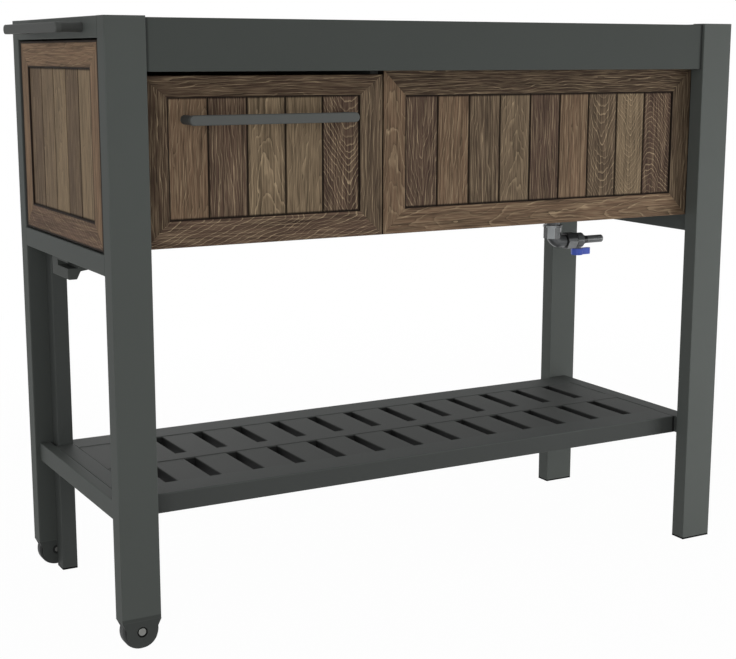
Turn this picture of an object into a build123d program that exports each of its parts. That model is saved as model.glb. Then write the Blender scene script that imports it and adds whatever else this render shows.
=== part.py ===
from build123d import *
import os

# Party table on two wheels, in millimetres.
# X runs to the right, Y to the back and Z up. The origin is on the floor, at the middle of the
# box round the whole table, so the legs stand half a grip's reach to the right of it.

# Overall sizes, over the outer faces of the legs
length = 1120.0
depth = 446.0
height = 914.0

# Legs, posts, rails and aprons
leg_width = 60.0
leg_depth = 30.0
leg_wall = 1.5
tube_corner = 1.5
post_width = 26.0
post_depth = 30.0
post_setback = 4.0
rail_size = 30.0
rail_wall = 1.2
cabinet_height = 330.0
apron_height = 74.0
apron_thickness = 25.0
apron_recess = 5.0
apron_drop = 2.0
joint_gap = 0.4

# Foot caps
foot_plate = 3.0
foot_plug = 15.0
foot_wall = 2.5
plug_fit = 0.2

# Wheel ends
wheel_radius = 28.0
wheel_width = 18.0
wheel_dish = 2.5
hub_radius = 10.0
rim_width = 6.0
tread_round = 3.0
wheel_side_gap = 0.6
wheel_room = 2.5
fork_round = 24.0
fork_shoulder = 45.0
fork_waist = 33.0
fork_deck = 3.0
fork_plug = 30.0
axle_radius = 4.0
axle_play = 0.05
axle_head_radius = 6.0
axle_head_height = 2.2
axle_pocket_radius = 8.0
axle_pocket_depth = 2.6

# Shelf
shelf_top = 219.0
shelf_rail_height = 30.0
shelf_rail_width = 54.0
shelf_front_setback = 46.0
shelf_back_setback = 34.0
centre_rail_width = 34.0
end_rail_inset = 20.0
end_rail_width = 30.0
left_rail_width = 30.0
outer_rail_inset = 8.0
slat_count = 14
slat_gap = 19.0
slat_height = 24.0
slat_wall = 1.2
slat_drop = 0.6

# Framed panels
panel_thickness = 18.0
panel_bar = 40.0
panel_lip = 2.5
panel_edge = 0.8
mitre_gap = 0.3
board_tuck = 8.0
board_fit = 0.3
board_gap = 0.3
board_groove = 2.0
side_recess = 2.0
panel_reveal = 2.5
panel_seat = 0.5
front_setback = 36.0
front_lap = 1.0
fixed_panel_tuck = 6.0
back_panel_end = 59.0
side_board_count = 5
fixed_board_count = 9
back_board_count = 16

# Drawer front, box and slides
drawer_width = 390.0
drawer_side_gap = 3.0
drawer_top_gap = 6.0
drawer_top_bar = 31.0
drawer_board_count = 5
door_gap = 2.0
box_wall = 8.0
box_back_gap = 7.5
box_height = 180.0
box_lift = 12.0
box_groove_lift = 6.0
box_groove_height = 6.0
box_groove_depth = 4.0
slide_thickness = 12.7
slide_height = 45.0
slide_lift = 60.0
slide_wall = 1.5
slide_lap = 9.0
slide_play = 0.35
runner_leg_gap = 0.7
slide_end_gap = 2.0

# Cabinet floor, divider and worktop
floor_thickness = 10.0
post_room = 0.5
divider_thickness = 15.0
divider_lap = 2.0
worktop_thickness = 12.0
top_edge = 1.2

# Cooler and lid
lid_thickness = 14.0
lid_gap = 2.0
lid_notch_length = 110.0
lid_notch_depth = 18.0
gasket_height = 2.5
gasket_width = 8.0
gasket_offset = 6.0
gasket_air = 0.3
lid_skin = 1.5
core_thickness = 4.0
core_fit = 0.3
jacket_fit = 0.5
jacket_wall = 4.0
jacket_joint = 0.3
basin_margin = 34.0
basin_lift = 34.0
liner_wall = 3.0
liner_flange = 4.0
liner_flange_inset = 2.0
liner_corner = 24.0
liner_round = 12.0
liner_draft = 12.0

# Lid hinges
hinge_count = 2
hinge_spacing = 330.0
hinge_width = 60.0
hinge_end_knuckle = 18.0
hinge_knuckle_gap = 0.4
hinge_radius = 4.0
hinge_pin_radius = 2.0
hinge_pin_play = 0.05
hinge_leaf = 1.5
hinge_leaf_height = 30.0
hinge_axis_drop = 3.0
hinge_axis_gap = 4.5
hinge_lid_gap = 4.5
hinge_flap_depth = 20.0

# Drain
drain_inset = 203.5
drain_drop = 58.0
shank_radius = 12.5
drain_bore = 9.0
drain_flange_radius = 22.0
drain_flange_height = 3.0
drain_fit = 0.4
lock_ring_radius = 21.0
lock_ring_height = 5.0
elbow_radius = 11.5
elbow_bend = 17.0
socket_sides = 8
socket_flat = 15.2
socket_height = 24.0
socket_lap = 10.0
socket_ring_radius = 17.5
socket_ring_height = 4.0
elbow_end = 10.5
tail_radius = 10.5
tail_length = 10.0
nut_sides = 6
nut_flat = 14.0
nut_edge = 1.0
nut_length = 22.0
nut_fit = 0.2
valve_radius = 13.5
valve_length = 15.0
valve_boss_radius = 7.0
valve_boss_drop = 15.0
neck_radius = 5.5
neck_length = 4.0
bead_radius = 8.0
bead_length = 4.0
stub_radius = 7.0
stub_length = 40.0
stub_bore = 4.5
stub_round = 2.0
stem_radius = 3.0
stem_play = 0.05
stem_socket = 5.0
lever_radius = 11.0
lever_height = 12.0
lever_reach = 25.0
lever_width = 8.0
lever_gap = 0.4
lever_edge = 1.5

# Grips: the drawer handle and the side pull are the same bar on round posts
grip_length = 272.0
grip_bar = 14.5
grip_post = 13.5
grip_thickness = 8.0
grip_reach = 39.0
grip_edge = 2.0
drawer_grip_drop = 62.0

# Bottle opener under the left bottom rail
opener_length = 78.0
opener_offset = 35.0
opener_inset = 6.0
opener_drop = 31.0
opener_lip = 14.0
opener_tail = 26.0
opener_tail_drop = 19.0
opener_tail_height = 6.0
opener_curve = 6.0
mouth_length = 51.0
mouth_height = 9.0
mouth_depth = 16.0
mouth_top = 5.0

# Faces and levels that several pieces share
left = (grip_reach - length) / 2
right = left + length
front = -depth / 2
back = depth / 2
leg_back = front + leg_depth
rear_leg_front = back - leg_depth
post_right = left + leg_width - post_setback
post_left = post_right - post_width
bottom_rail_top = height - cabinet_height
bottom_rail_middle = bottom_rail_top - rail_size / 2
top_rail_bottom = height - rail_size
apron_top = height - apron_drop
apron_bottom = apron_top - apron_height
apron_back = front + apron_recess + apron_thickness
rear_apron_front = back - apron_recess - apron_thickness
panel_bottom = bottom_rail_top + panel_reveal
panel_face = front + front_setback
back_panel_face = back - front_setback
fixed_panel_top = apron_bottom + front_lap
drawer_left = left + leg_width + drawer_side_gap
drawer_right = drawer_left + drawer_width
fixed_panel_left = drawer_right + door_gap
fixed_panel_right = right - leg_width + fixed_panel_tuck
inside_front = panel_face + panel_thickness + panel_seat
inside_back = back_panel_face - panel_thickness - panel_seat
inside_left = left + side_recess + panel_thickness + panel_seat
inside_right = right - side_recess - panel_thickness - panel_seat
floor_top = bottom_rail_top + floor_thickness
divider_right = fixed_panel_left + divider_lap
divider_left = divider_right - divider_thickness
worktop_bottom = apron_top - worktop_thickness
drain_z = bottom_rail_top - drain_drop


def facing_front(x, y, z):
    return Plane(origin=(x, y, z), x_dir=(1, 0, 0), z_dir=(0, -1, 0))


def facing_back(x, y, z):
    return Plane(origin=(x, y, z), x_dir=(-1, 0, 0), z_dir=(0, 1, 0))


def facing_left(x, y, z):
    return Plane(origin=(x, y, z), x_dir=(0, -1, 0), z_dir=(-1, 0, 0))


def facing_right(x, y, z):
    return Plane(origin=(x, y, z), x_dir=(0, 1, 0), z_dir=(1, 0, 0))


def facing_up(x, y, z):
    return Plane(origin=(x, y, z), x_dir=(1, 0, 0), z_dir=(0, 0, 1))


def save(part, label):
    part.label = label
    export_step(part, f"parts/{label}.step")


def tube(start, width, tall, wall, run):
    # Rectangular tube with open ends, drawn on the plane of its first end
    with BuildPart() as pipe:
        with BuildSketch(start):
            RectangleRounded(width, tall, tube_corner)
            Rectangle(width - 2 * wall, tall - 2 * wall, mode=Mode.SUBTRACT)
        extrude(amount=run)
    return pipe.part


def panel_frame(face, width, tall, top_bar):
    # Four mitred bars, with a step behind the opening that the boards lie in
    half = width / 2
    half_in = half - panel_bar
    high = tall / 2
    high_in = high - top_bar
    low_in = panel_bar - high
    slim = half - mitre_gap
    slim_in = half_in - mitre_gap
    bars = [
        [(-half, -high), (-half, high), (-half_in, high_in), (-half_in, low_in)],
        [(half, -high), (half, high), (half_in, high_in), (half_in, low_in)],
        [(-slim, high), (slim, high), (slim_in, high_in), (-slim_in, high_in)],
        [(-slim, -high), (slim, -high), (slim_in, low_in), (-slim_in, low_in)],
    ]
    with BuildPart() as frame:
        with BuildSketch(face):
            for corners in bars:
                with BuildLine():
                    Polyline(*corners, close=True)
                make_face()
        extrude(amount=-panel_thickness)
        outward = Axis(face.origin, face.z_dir)
        rims = frame.faces().sort_by(outward)[-len(bars):].edges()
        level = rims.filter_by(Axis(face.origin, face.x_dir))
        upright = rims.filter_by(Axis(face.origin, face.y_dir))
        chamfer(level + upright, panel_edge)
        with BuildSketch(face.offset(-panel_lip)):
            with Locations((0, (high_in + low_in) / 2)):
                Rectangle(2 * (half_in + board_tuck), high_in - low_in + 2 * board_tuck)
        extrude(amount=panel_lip - panel_thickness, mode=Mode.SUBTRACT)
    return frame.part


def panel_boards(face, width, tall, top_bar, count):
    # Upright boards with V-grooves between them, tucked behind the frame all round
    opening = width - 2 * panel_bar
    high_in = tall / 2 - top_bar
    low_in = panel_bar - tall / 2
    tuck = board_tuck - board_fit
    pitch = opening / count
    with BuildPart() as boards:
        with BuildSketch(face.offset(-panel_lip)):
            for index in range(count):
                start = index * pitch - opening / 2 + board_gap / 2
                end = start + pitch - board_gap
                if index == 0:
                    start = -opening / 2 - tuck
                if index == count - 1:
                    end = opening / 2 + tuck
                with Locations(((start + end) / 2, (high_in + low_in) / 2)):
                    Rectangle(end - start, high_in - low_in + 2 * tuck)
        extrude(amount=panel_lip - panel_thickness)
        outward = Axis(face.origin, face.z_dir)
        chamfer(boards.edges().filter_by(Axis.Z).group_by(outward)[-1], board_groove)
    return boards.part


def grip(base):
    # Flat bar with round ends on two round posts, drawn on the face that it is screwed to
    span = grip_length - grip_bar
    with BuildPart() as handle:
        with BuildSketch(base.offset(grip_reach - grip_thickness)):
            SlotOverall(grip_length, grip_bar)
        extrude(amount=grip_thickness)
        outward = Axis(base.origin, base.z_dir)
        fillet(handle.faces().sort_by(outward)[-1].edges(), grip_edge)
        with BuildSketch(base):
            with GridLocations(span, 0, 2, 1):
                Circle(grip_post / 2)
        extrude(amount=grip_reach - grip_thickness)
    return handle.part


os.makedirs("parts", exist_ok=True)

# Legs: closed at the top, open below for the foot cap or the wheel fork
leg_left = left + leg_width / 2
leg_right = right - leg_width / 2
leg_front = front + leg_depth / 2
leg_rear = back - leg_depth / 2
legs = {
    "front_left_leg": (leg_left, leg_front, fork_shoulder),
    "rear_left_leg": (leg_left, leg_rear, fork_shoulder),
    "front_right_leg": (leg_right, leg_front, foot_plate),
    "rear_right_leg": (leg_right, leg_rear, foot_plate),
}
for label, (x, y, lower_end) in legs.items():
    with BuildPart() as leg:
        with BuildSketch(facing_up(x, y, lower_end)):
            RectangleRounded(leg_width, leg_depth, tube_corner)
        extrude(amount=height - lower_end)
        with BuildSketch(facing_up(x, y, lower_end)):
            Rectangle(leg_width - 2 * leg_wall, leg_depth - 2 * leg_wall)
        extrude(amount=height - lower_end - leg_wall, mode=Mode.SUBTRACT)
    save(leg.part, label)

# Posts: stand beside the wheels and carry the worktop, the shelf end and the drawer slide
post_x = post_left + post_width / 2
posts = {
    "front_post": leg_back + post_depth / 2,
    "rear_post": rear_leg_front - post_depth / 2,
}
for label, y in posts.items():
    post_start = facing_up(post_x, y, foot_plate)
    save(tube(post_start, post_width, post_depth, rail_wall, worktop_bottom - foot_plate), label)

# Foot caps: a plate under the tube and a hollow plug inside it
feet = [
    ([(leg_right, leg_front), (leg_right, leg_rear)], leg_width, leg_depth, leg_wall),
    ([(post_x, y) for y in posts.values()], post_width, post_depth, rail_wall),
]
with BuildPart() as foot_caps:
    for places, width, deep, wall in feet:
        plug_width = width - 2 * (wall + plug_fit)
        plug_deep = deep - 2 * (wall + plug_fit)
        with BuildSketch():
            with Locations(*places):
                RectangleRounded(width, deep, tube_corner)
        extrude(amount=foot_plate)
        with BuildSketch(Plane.XY.offset(foot_plate)):
            with Locations(*places):
                Rectangle(plug_width, plug_deep)
                Rectangle(plug_width - 2 * foot_wall, plug_deep - 2 * foot_wall, mode=Mode.SUBTRACT)
        extrude(amount=foot_plug)
save(foot_caps.part, "foot_caps")

# Wheel ends: fork let into the leg, wheel between its cheeks, axle through both
cheek = (leg_depth - wheel_width) / 2 - wheel_side_gap
wheel_ends = {
    "front": (facing_front(leg_left, front, wheel_radius), leg_front),
    "rear": (facing_back(leg_left, back, wheel_radius), leg_rear),
}
for end, (outer_face, y) in wheel_ends.items():
    waist = fork_waist - wheel_radius
    shoulder = fork_shoulder - wheel_radius
    with BuildPart() as fork:
        with BuildSketch(outer_face):
            with BuildLine():
                Polyline(
                    (-fork_round, 0),
                    (-fork_round, waist),
                    (-leg_width / 2, shoulder),
                    (leg_width / 2, shoulder),
                    (fork_round, waist),
                    (fork_round, 0),
                )
                ThreePointArc((fork_round, 0), (0, -fork_round), (-fork_round, 0))
            make_face()
        extrude(amount=-leg_depth)
        with BuildSketch(facing_up(leg_left, y, fork_shoulder)):
            Rectangle(leg_width - 2 * (leg_wall + plug_fit), leg_depth - 2 * (leg_wall + plug_fit))
        extrude(amount=fork_plug)
        with BuildSketch(outer_face.offset(-cheek)):
            Circle(wheel_radius + wheel_room)
            with Locations((0, shoulder - fork_deck)):
                Rectangle(leg_width, fork_shoulder, align=(Align.CENTER, Align.MAX))
        extrude(amount=2 * cheek - leg_depth, mode=Mode.SUBTRACT)
        with BuildSketch(outer_face):
            Circle(axle_radius + axle_play)
        extrude(amount=-leg_depth, mode=Mode.SUBTRACT)
        with BuildSketch(outer_face):
            Circle(axle_pocket_radius)
        extrude(amount=-axle_pocket_depth, mode=Mode.SUBTRACT)
    save(fork.part, f"{end}_fork")

    half_wheel = wheel_width / 2
    rim_inside = wheel_radius - rim_width
    with BuildPart() as wheel:
        with BuildSketch(facing_right(leg_left, y, wheel_radius)):
            with BuildLine():
                Polyline(
                    (-half_wheel, axle_radius + axle_play),
                    (-half_wheel, hub_radius),
                    (wheel_dish - half_wheel, hub_radius + wheel_dish),
                    (wheel_dish - half_wheel, rim_inside - wheel_dish),
                    (-half_wheel, rim_inside),
                    (-half_wheel, wheel_radius - tread_round),
                )
                RadiusArc(
                    (-half_wheel, wheel_radius - tread_round),
                    (tread_round - half_wheel, wheel_radius),
                    tread_round,
                )
                Polyline(
                    (tread_round - half_wheel, wheel_radius),
                    (0, wheel_radius),
                    (0, axle_radius + axle_play),
                    (-half_wheel, axle_radius + axle_play),
                )
            make_face()
            mirror(about=Plane.YZ)
        revolve(axis=Axis((leg_left, y, wheel_radius), (0, 1, 0)))
    save(wheel.part, f"{end}_wheel")

    with BuildPart() as axle:
        with BuildSketch(outer_face.offset(-axle_pocket_depth)):
            Circle(axle_radius)
        extrude(amount=axle_pocket_depth - leg_depth)
        with BuildSketch(outer_face.offset(-axle_pocket_depth)):
            Circle(axle_head_radius)
        extrude(amount=axle_head_height)
        head = axle.faces().sort_by(Axis(outer_face.origin, outer_face.z_dir))[-1]
        fillet(head.edges(), axle_head_height / 2)
    save(axle.part, f"{end}_axle")

# Aprons along the front and the back
apron_run = length - 2 * leg_width - 2 * joint_gap
apron_start = left + leg_width + joint_gap
apron_middle = apron_top - apron_height / 2
for label, y in {"front_apron": apron_back, "rear_apron": rear_apron_front + apron_thickness}.items():
    apron_end = facing_right(apron_start, y - apron_thickness / 2, apron_middle)
    save(tube(apron_end, apron_thickness, apron_height, rail_wall, apron_run), label)

# Side rails between the front and rear legs, at the top and under the cabinet
side_run = depth - 2 * leg_depth
for side, x in {"left": left + rail_size / 2, "right": right - rail_size / 2}.items():
    for level, z in {"top": height - rail_size / 2, "bottom": bottom_rail_middle}.items():
        rail_end = facing_back(x, leg_back, z)
        save(tube(rail_end, rail_size, rail_size, rail_wall, side_run), f"{side}_{level}_rail")

# Shelf frame
shelf_middle = shelf_top - shelf_rail_height / 2
shelf_left = post_right
shelf_right = right - end_rail_inset - end_rail_width
shelf_run = shelf_right - shelf_left
front_row_start = front + shelf_front_setback + shelf_rail_width
back_row_end = back - shelf_back_setback - shelf_rail_width
deck_middle = (front_row_start + back_row_end) / 2
long_rails = {
    "shelf_front_rail": (front_row_start - shelf_rail_width / 2, shelf_rail_width),
    "shelf_centre_rail": (deck_middle, centre_rail_width),
    "shelf_back_rail": (back_row_end + shelf_rail_width / 2, shelf_rail_width),
}
for label, (y, width) in long_rails.items():
    rail_end = facing_right(shelf_left, y, shelf_middle)
    save(tube(rail_end, width, shelf_rail_height, rail_wall, shelf_run), label)

post_run = side_run - 2 * post_depth
left_rail_x = post_right - left_rail_width / 2
outer_rail_left = left + outer_rail_inset
outer_rail_width = post_right - left_rail_width - outer_rail_left
end_rails = {
    "shelf_left_rail": (left_rail_x, leg_back + post_depth, left_rail_width, post_run),
    "shelf_right_rail": (shelf_right + end_rail_width / 2, leg_back, end_rail_width, side_run),
    "shelf_outer_rail": (outer_rail_left + outer_rail_width / 2, leg_back, outer_rail_width, side_run),
}
for label, (x, y, width, run) in end_rails.items():
    save(tube(facing_back(x, y, shelf_middle), width, shelf_rail_height, rail_wall, run), label)

# Shelf slats: folded channels between the long rails, open below
slat_width = (shelf_run - (slat_count - 1) * slat_gap) / slat_count
slat_pitch = slat_width + slat_gap
slat_run = (back_row_end - front_row_start - centre_rail_width) / 2
slat_top = shelf_top - slat_drop
slat_rows = {
    "shelf_front_slats": front_row_start + slat_run / 2,
    "shelf_back_slats": back_row_end - slat_run / 2,
}
for label, y in slat_rows.items():
    row = facing_up((shelf_left + shelf_right) / 2, y, slat_top - slat_height)
    with BuildPart() as slats:
        with BuildSketch(row):
            with GridLocations(slat_pitch, 0, slat_count, 1):
                Rectangle(slat_width, slat_run)
        extrude(amount=slat_height)
        with BuildSketch(row):
            with GridLocations(slat_pitch, 0, slat_count, 1):
                Rectangle(slat_width - 2 * slat_wall, slat_run)
        extrude(amount=slat_height - slat_wall, mode=Mode.SUBTRACT)
    save(slats.part, label)

# Framed panels: both ends, the fixed front over the cooler, and the back
side_tall = top_rail_bottom - bottom_rail_top - 2 * panel_reveal
side_wide = side_run - 2 * panel_reveal
side_middle = (top_rail_bottom + bottom_rail_top) / 2
fixed_tall = fixed_panel_top - panel_bottom
fixed_middle = (fixed_panel_top + panel_bottom) / 2
fixed_wide = fixed_panel_right - fixed_panel_left
fixed_x = (fixed_panel_left + fixed_panel_right) / 2
back_wide = length - 2 * back_panel_end
left_face = facing_left(left + side_recess, 0, side_middle)
right_face = facing_right(right - side_recess, 0, side_middle)
front_face = facing_front(fixed_x, panel_face, fixed_middle)
back_face = facing_back((left + right) / 2, back_panel_face, fixed_middle)
panels = {
    "left_panel": (left_face, side_wide, side_tall, side_board_count),
    "right_panel": (right_face, side_wide, side_tall, side_board_count),
    "front_panel": (front_face, fixed_wide, fixed_tall, fixed_board_count),
    "back_panel": (back_face, back_wide, fixed_tall, back_board_count),
}
for label, (face, wide, tall, count) in panels.items():
    save(panel_frame(face, wide, tall, panel_bar), f"{label}_frame")
    save(panel_boards(face, wide, tall, panel_bar, count), f"{label}_boards")

# Drawer front and its grip
drawer_top = apron_bottom - drawer_top_gap
drawer_tall = drawer_top - panel_bottom
drawer_x = (drawer_left + drawer_right) / 2
drawer_face = facing_front(drawer_x, panel_face, (drawer_top + panel_bottom) / 2)
save(panel_frame(drawer_face, drawer_width, drawer_tall, drawer_top_bar), "drawer_front_frame")
drawer_boards = panel_boards(drawer_face, drawer_width, drawer_tall, drawer_top_bar, drawer_board_count)
save(drawer_boards, "drawer_front_boards")
save(grip(facing_front(drawer_x, panel_face + panel_lip, drawer_top - drawer_grip_drop)), "drawer_handle")

# Drawer box: four boards on the back of the drawer front, with a bottom let into their grooves
box_left = post_right + slide_thickness
box_right = divider_left - slide_thickness
box_wide = box_right - box_left
box_front = panel_face + panel_thickness
box_length = inside_back - box_back_gap - box_front
box_bottom = floor_top + box_lift
box_x = (box_left + box_right) / 2
box_y = box_front + box_length / 2
bottom_wide = box_wide - 2 * (box_wall - box_groove_depth)
bottom_long = box_length - 2 * (box_wall - box_groove_depth)
with BuildPart() as drawer_box:
    with BuildSketch(facing_up(box_x, box_y, box_bottom)):
        with GridLocations(box_wide - box_wall, 0, 2, 1):
            Rectangle(box_wall, box_length)
        with GridLocations(0, box_length - box_wall, 1, 2):
            Rectangle(box_wide - 2 * (box_wall + board_gap), box_wall)
    extrude(amount=box_height)
    with BuildSketch(facing_up(box_x, box_y, box_bottom + box_groove_lift)):
        Rectangle(bottom_wide, bottom_long)
    extrude(amount=box_groove_height, mode=Mode.SUBTRACT)
    with BuildSketch(facing_up(box_x, box_y, box_bottom + box_groove_lift + board_fit)):
        Rectangle(bottom_wide - 2 * board_fit, bottom_long - 2 * board_fit)
    extrude(amount=box_groove_height - 2 * board_fit)
save(drawer_box.part, "drawer_box")

# Drawer slides: a channel on the post and on the divider, a runner on each side of the box
slide_z = box_bottom + slide_lift
runner_height = slide_height - 2 * (slide_wall + slide_play)
runner_depth = box_left - left - leg_width - runner_leg_gap
channel_start = inside_front + slide_end_gap
channel_run = inside_back - slide_end_gap - channel_start
with BuildPart() as channels:
    with BuildSketch(facing_back(box_x, channel_start, slide_z)):
        with Locations((divider_left - box_x, 0)):
            Rectangle(slide_lap, slide_height, align=(Align.MAX, Align.CENTER))
            with Locations((-slide_wall, 0)):
                Rectangle(
                    slide_lap,
                    slide_height - 2 * slide_wall,
                    align=(Align.MAX, Align.CENTER),
                    mode=Mode.SUBTRACT,
                )
        mirror(about=Plane.YZ, mode=Mode.ADD)
    extrude(amount=channel_run)
save(channels.part, "slide_channels")

with BuildPart() as runners:
    with BuildSketch(facing_back(box_x, channel_start, slide_z)):
        with Locations((box_right - box_x, 0)):
            Rectangle(runner_depth, runner_height, align=(Align.MIN, Align.CENTER))
            with Locations((slide_wall, 0)):
                Rectangle(
                    runner_depth,
                    runner_height - 2 * slide_wall,
                    align=(Align.MIN, Align.CENTER),
                    mode=Mode.SUBTRACT,
                )
        mirror(about=Plane.YZ, mode=Mode.ADD)
    extrude(amount=box_front + box_length - channel_start)
save(runners.part, "slide_runners")

# Cabinet floor on the bottom rails, notched round the posts, with the drain hole
drain_x = right - drain_inset
floor_x = (inside_left + inside_right) / 2
with BuildPart() as cabinet_floor:
    with BuildSketch(Plane.XY.offset(bottom_rail_top)):
        with Locations((floor_x, 0)):
            Rectangle(inside_right - inside_left, inside_back - inside_front)
        with Locations(*[(post_x, y) for y in posts.values()]):
            Rectangle(post_width + 2 * post_room, post_depth + 2 * post_room, mode=Mode.SUBTRACT)
        with Locations((drain_x, 0)):
            Circle(shank_radius + drain_fit, mode=Mode.SUBTRACT)
    extrude(amount=floor_thickness)
save(cabinet_floor.part, "cabinet_floor")

# Divider between the drawer and the cooler
with BuildPart() as divider:
    with BuildSketch(facing_up((divider_left + divider_right) / 2, 0, floor_top)):
        Rectangle(divider_thickness, inside_back - inside_front)
    extrude(amount=worktop_bottom - floor_top)
save(divider.part, "divider")

# Worktop over the drawer
worktop_left = left + rail_size + joint_gap
worktop_deep = rear_apron_front - apron_back - 2 * joint_gap
with BuildPart() as worktop:
    with BuildSketch(facing_up((worktop_left + divider_right) / 2, 0, worktop_bottom)):
        Rectangle(divider_right - worktop_left, worktop_deep)
    extrude(amount=worktop_thickness)
    chamfer(worktop.faces().sort_by(Axis.Z)[-1].edges(), top_edge)
save(worktop.part, "worktop")

# Cooler: a drafted liner hung by its flange in a sheet jacket that stands on the cabinet floor
lid_bottom = apron_top - lid_thickness
liner_top = lid_bottom - gasket_height - gasket_air
jacket_top = liner_top - liner_flange
jacket_left = divider_right + jacket_fit
jacket_right = right - rail_size - jacket_fit
jacket_x = (jacket_left + jacket_right) / 2
jacket_wide = jacket_right - jacket_left
jacket_deep = inside_back - inside_front
basin_wide = jacket_wide - 2 * basin_margin
basin_deep = jacket_deep - 2 * basin_margin
basin_bottom = floor_top + basin_lift
draft_in = 2 * liner_draft
inside_cut = 2 * liner_wall
with BuildPart() as basin:
    with BuildSketch(facing_up(jacket_x, 0, liner_top)):
        RectangleRounded(basin_wide - inside_cut, basin_deep - inside_cut, liner_corner - liner_wall)
    with BuildSketch(facing_up(jacket_x, 0, basin_bottom + liner_wall)):
        RectangleRounded(
            basin_wide - draft_in - inside_cut, basin_deep - draft_in - inside_cut, liner_corner - liner_wall
        )
    loft()
    fillet(basin.faces().sort_by(Axis.Z)[0].edges(), liner_round - liner_wall)

with BuildPart() as liner:
    with BuildSketch(facing_up(jacket_x, 0, jacket_top)):
        RectangleRounded(basin_wide, basin_deep, liner_corner)
    with BuildSketch(facing_up(jacket_x, 0, basin_bottom)):
        RectangleRounded(basin_wide - draft_in, basin_deep - draft_in, liner_corner)
    loft()
    fillet(liner.faces().sort_by(Axis.Z)[0].edges(), liner_round)
    with BuildSketch(facing_up(jacket_x, 0, jacket_top)):
        RectangleRounded(
            jacket_wide - 2 * liner_flange_inset, jacket_deep - 2 * liner_flange_inset, liner_flange_inset
        )
    extrude(amount=liner_flange)
    add(basin.part, mode=Mode.SUBTRACT)
    with BuildSketch(facing_up(drain_x, 0, basin_bottom)):
        Circle(shank_radius + drain_fit)
    extrude(amount=liner_wall, mode=Mode.SUBTRACT)
save(liner.part, "cooler_liner")

jacket_inset = 2 * (jacket_wall + jacket_joint)
with BuildPart() as jacket:
    with BuildSketch(facing_up(jacket_x, 0, floor_top)):
        with GridLocations(jacket_wide - jacket_wall, 0, 2, 1):
            Rectangle(jacket_wall, jacket_deep)
        with GridLocations(0, jacket_deep - jacket_wall, 1, 2):
            Rectangle(jacket_wide - jacket_inset, jacket_wall)
    extrude(amount=jacket_top - floor_top)
    with BuildSketch(facing_up(jacket_x, 0, floor_top)):
        Rectangle(jacket_wide - jacket_inset, jacket_deep - jacket_inset)
        with Locations((drain_x - jacket_x, 0)):
            Circle(shank_radius + drain_fit, mode=Mode.SUBTRACT)
    extrude(amount=jacket_wall)
save(jacket.part, "cooler_jacket")

# Lid: a folded pan flush with the aprons, with a finger notch at the front, a core and a gasket
hinge_y = rear_apron_front - hinge_axis_gap
hinge_z = apron_top - hinge_axis_drop
lid_left = divider_right + lid_gap
lid_right = right - rail_size - lid_gap
lid_front = apron_back + lid_gap
lid_back = hinge_y - hinge_lid_gap
lid_x = (lid_left + lid_right) / 2
lid_y = (lid_front + lid_back) / 2
with BuildPart() as lid:
    with BuildSketch(facing_up(lid_x, lid_y, lid_bottom)):
        Rectangle(lid_right - lid_left, lid_back - lid_front)
        with Locations((0, lid_front - lid_y)):
            SlotOverall(lid_notch_length, 2 * lid_notch_depth, mode=Mode.SUBTRACT)
    extrude(amount=lid_thickness)
    chamfer(lid.faces().sort_by(Axis.Z)[-1].edges(), top_edge)
    with BuildSketch(facing_up(lid_x, lid_y, lid_bottom)):
        Rectangle(lid_right - lid_left, lid_back - lid_front)
        with Locations((0, lid_front - lid_y)):
            SlotOverall(lid_notch_length, 2 * lid_notch_depth, mode=Mode.SUBTRACT)
        offset(amount=-lid_skin, mode=Mode.REPLACE)
    extrude(amount=lid_thickness - lid_skin, mode=Mode.SUBTRACT)
save(lid.part, "cooler_lid")

with BuildPart() as lid_core:
    with BuildSketch(facing_up(lid_x, lid_y, lid_bottom)):
        Rectangle(lid_right - lid_left, lid_back - lid_front)
        with Locations((0, lid_front - lid_y)):
            SlotOverall(lid_notch_length, 2 * lid_notch_depth, mode=Mode.SUBTRACT)
        offset(amount=-lid_skin - core_fit, mode=Mode.REPLACE)
    extrude(amount=core_thickness)
save(lid_core.part, "lid_core")

gasket_out = 2 * (gasket_offset + gasket_width)
gasket_in = 2 * gasket_offset
with BuildPart() as gasket:
    with BuildSketch(facing_up(jacket_x, 0, lid_bottom - gasket_height)):
        RectangleRounded(
            basin_wide + gasket_out, basin_deep + gasket_out, liner_corner + gasket_offset + gasket_width
        )
        RectangleRounded(
            basin_wide + gasket_in, basin_deep + gasket_in, liner_corner + gasket_offset, mode=Mode.SUBTRACT
        )
    extrude(amount=gasket_height)
save(gasket.part, "lid_gasket")

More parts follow.
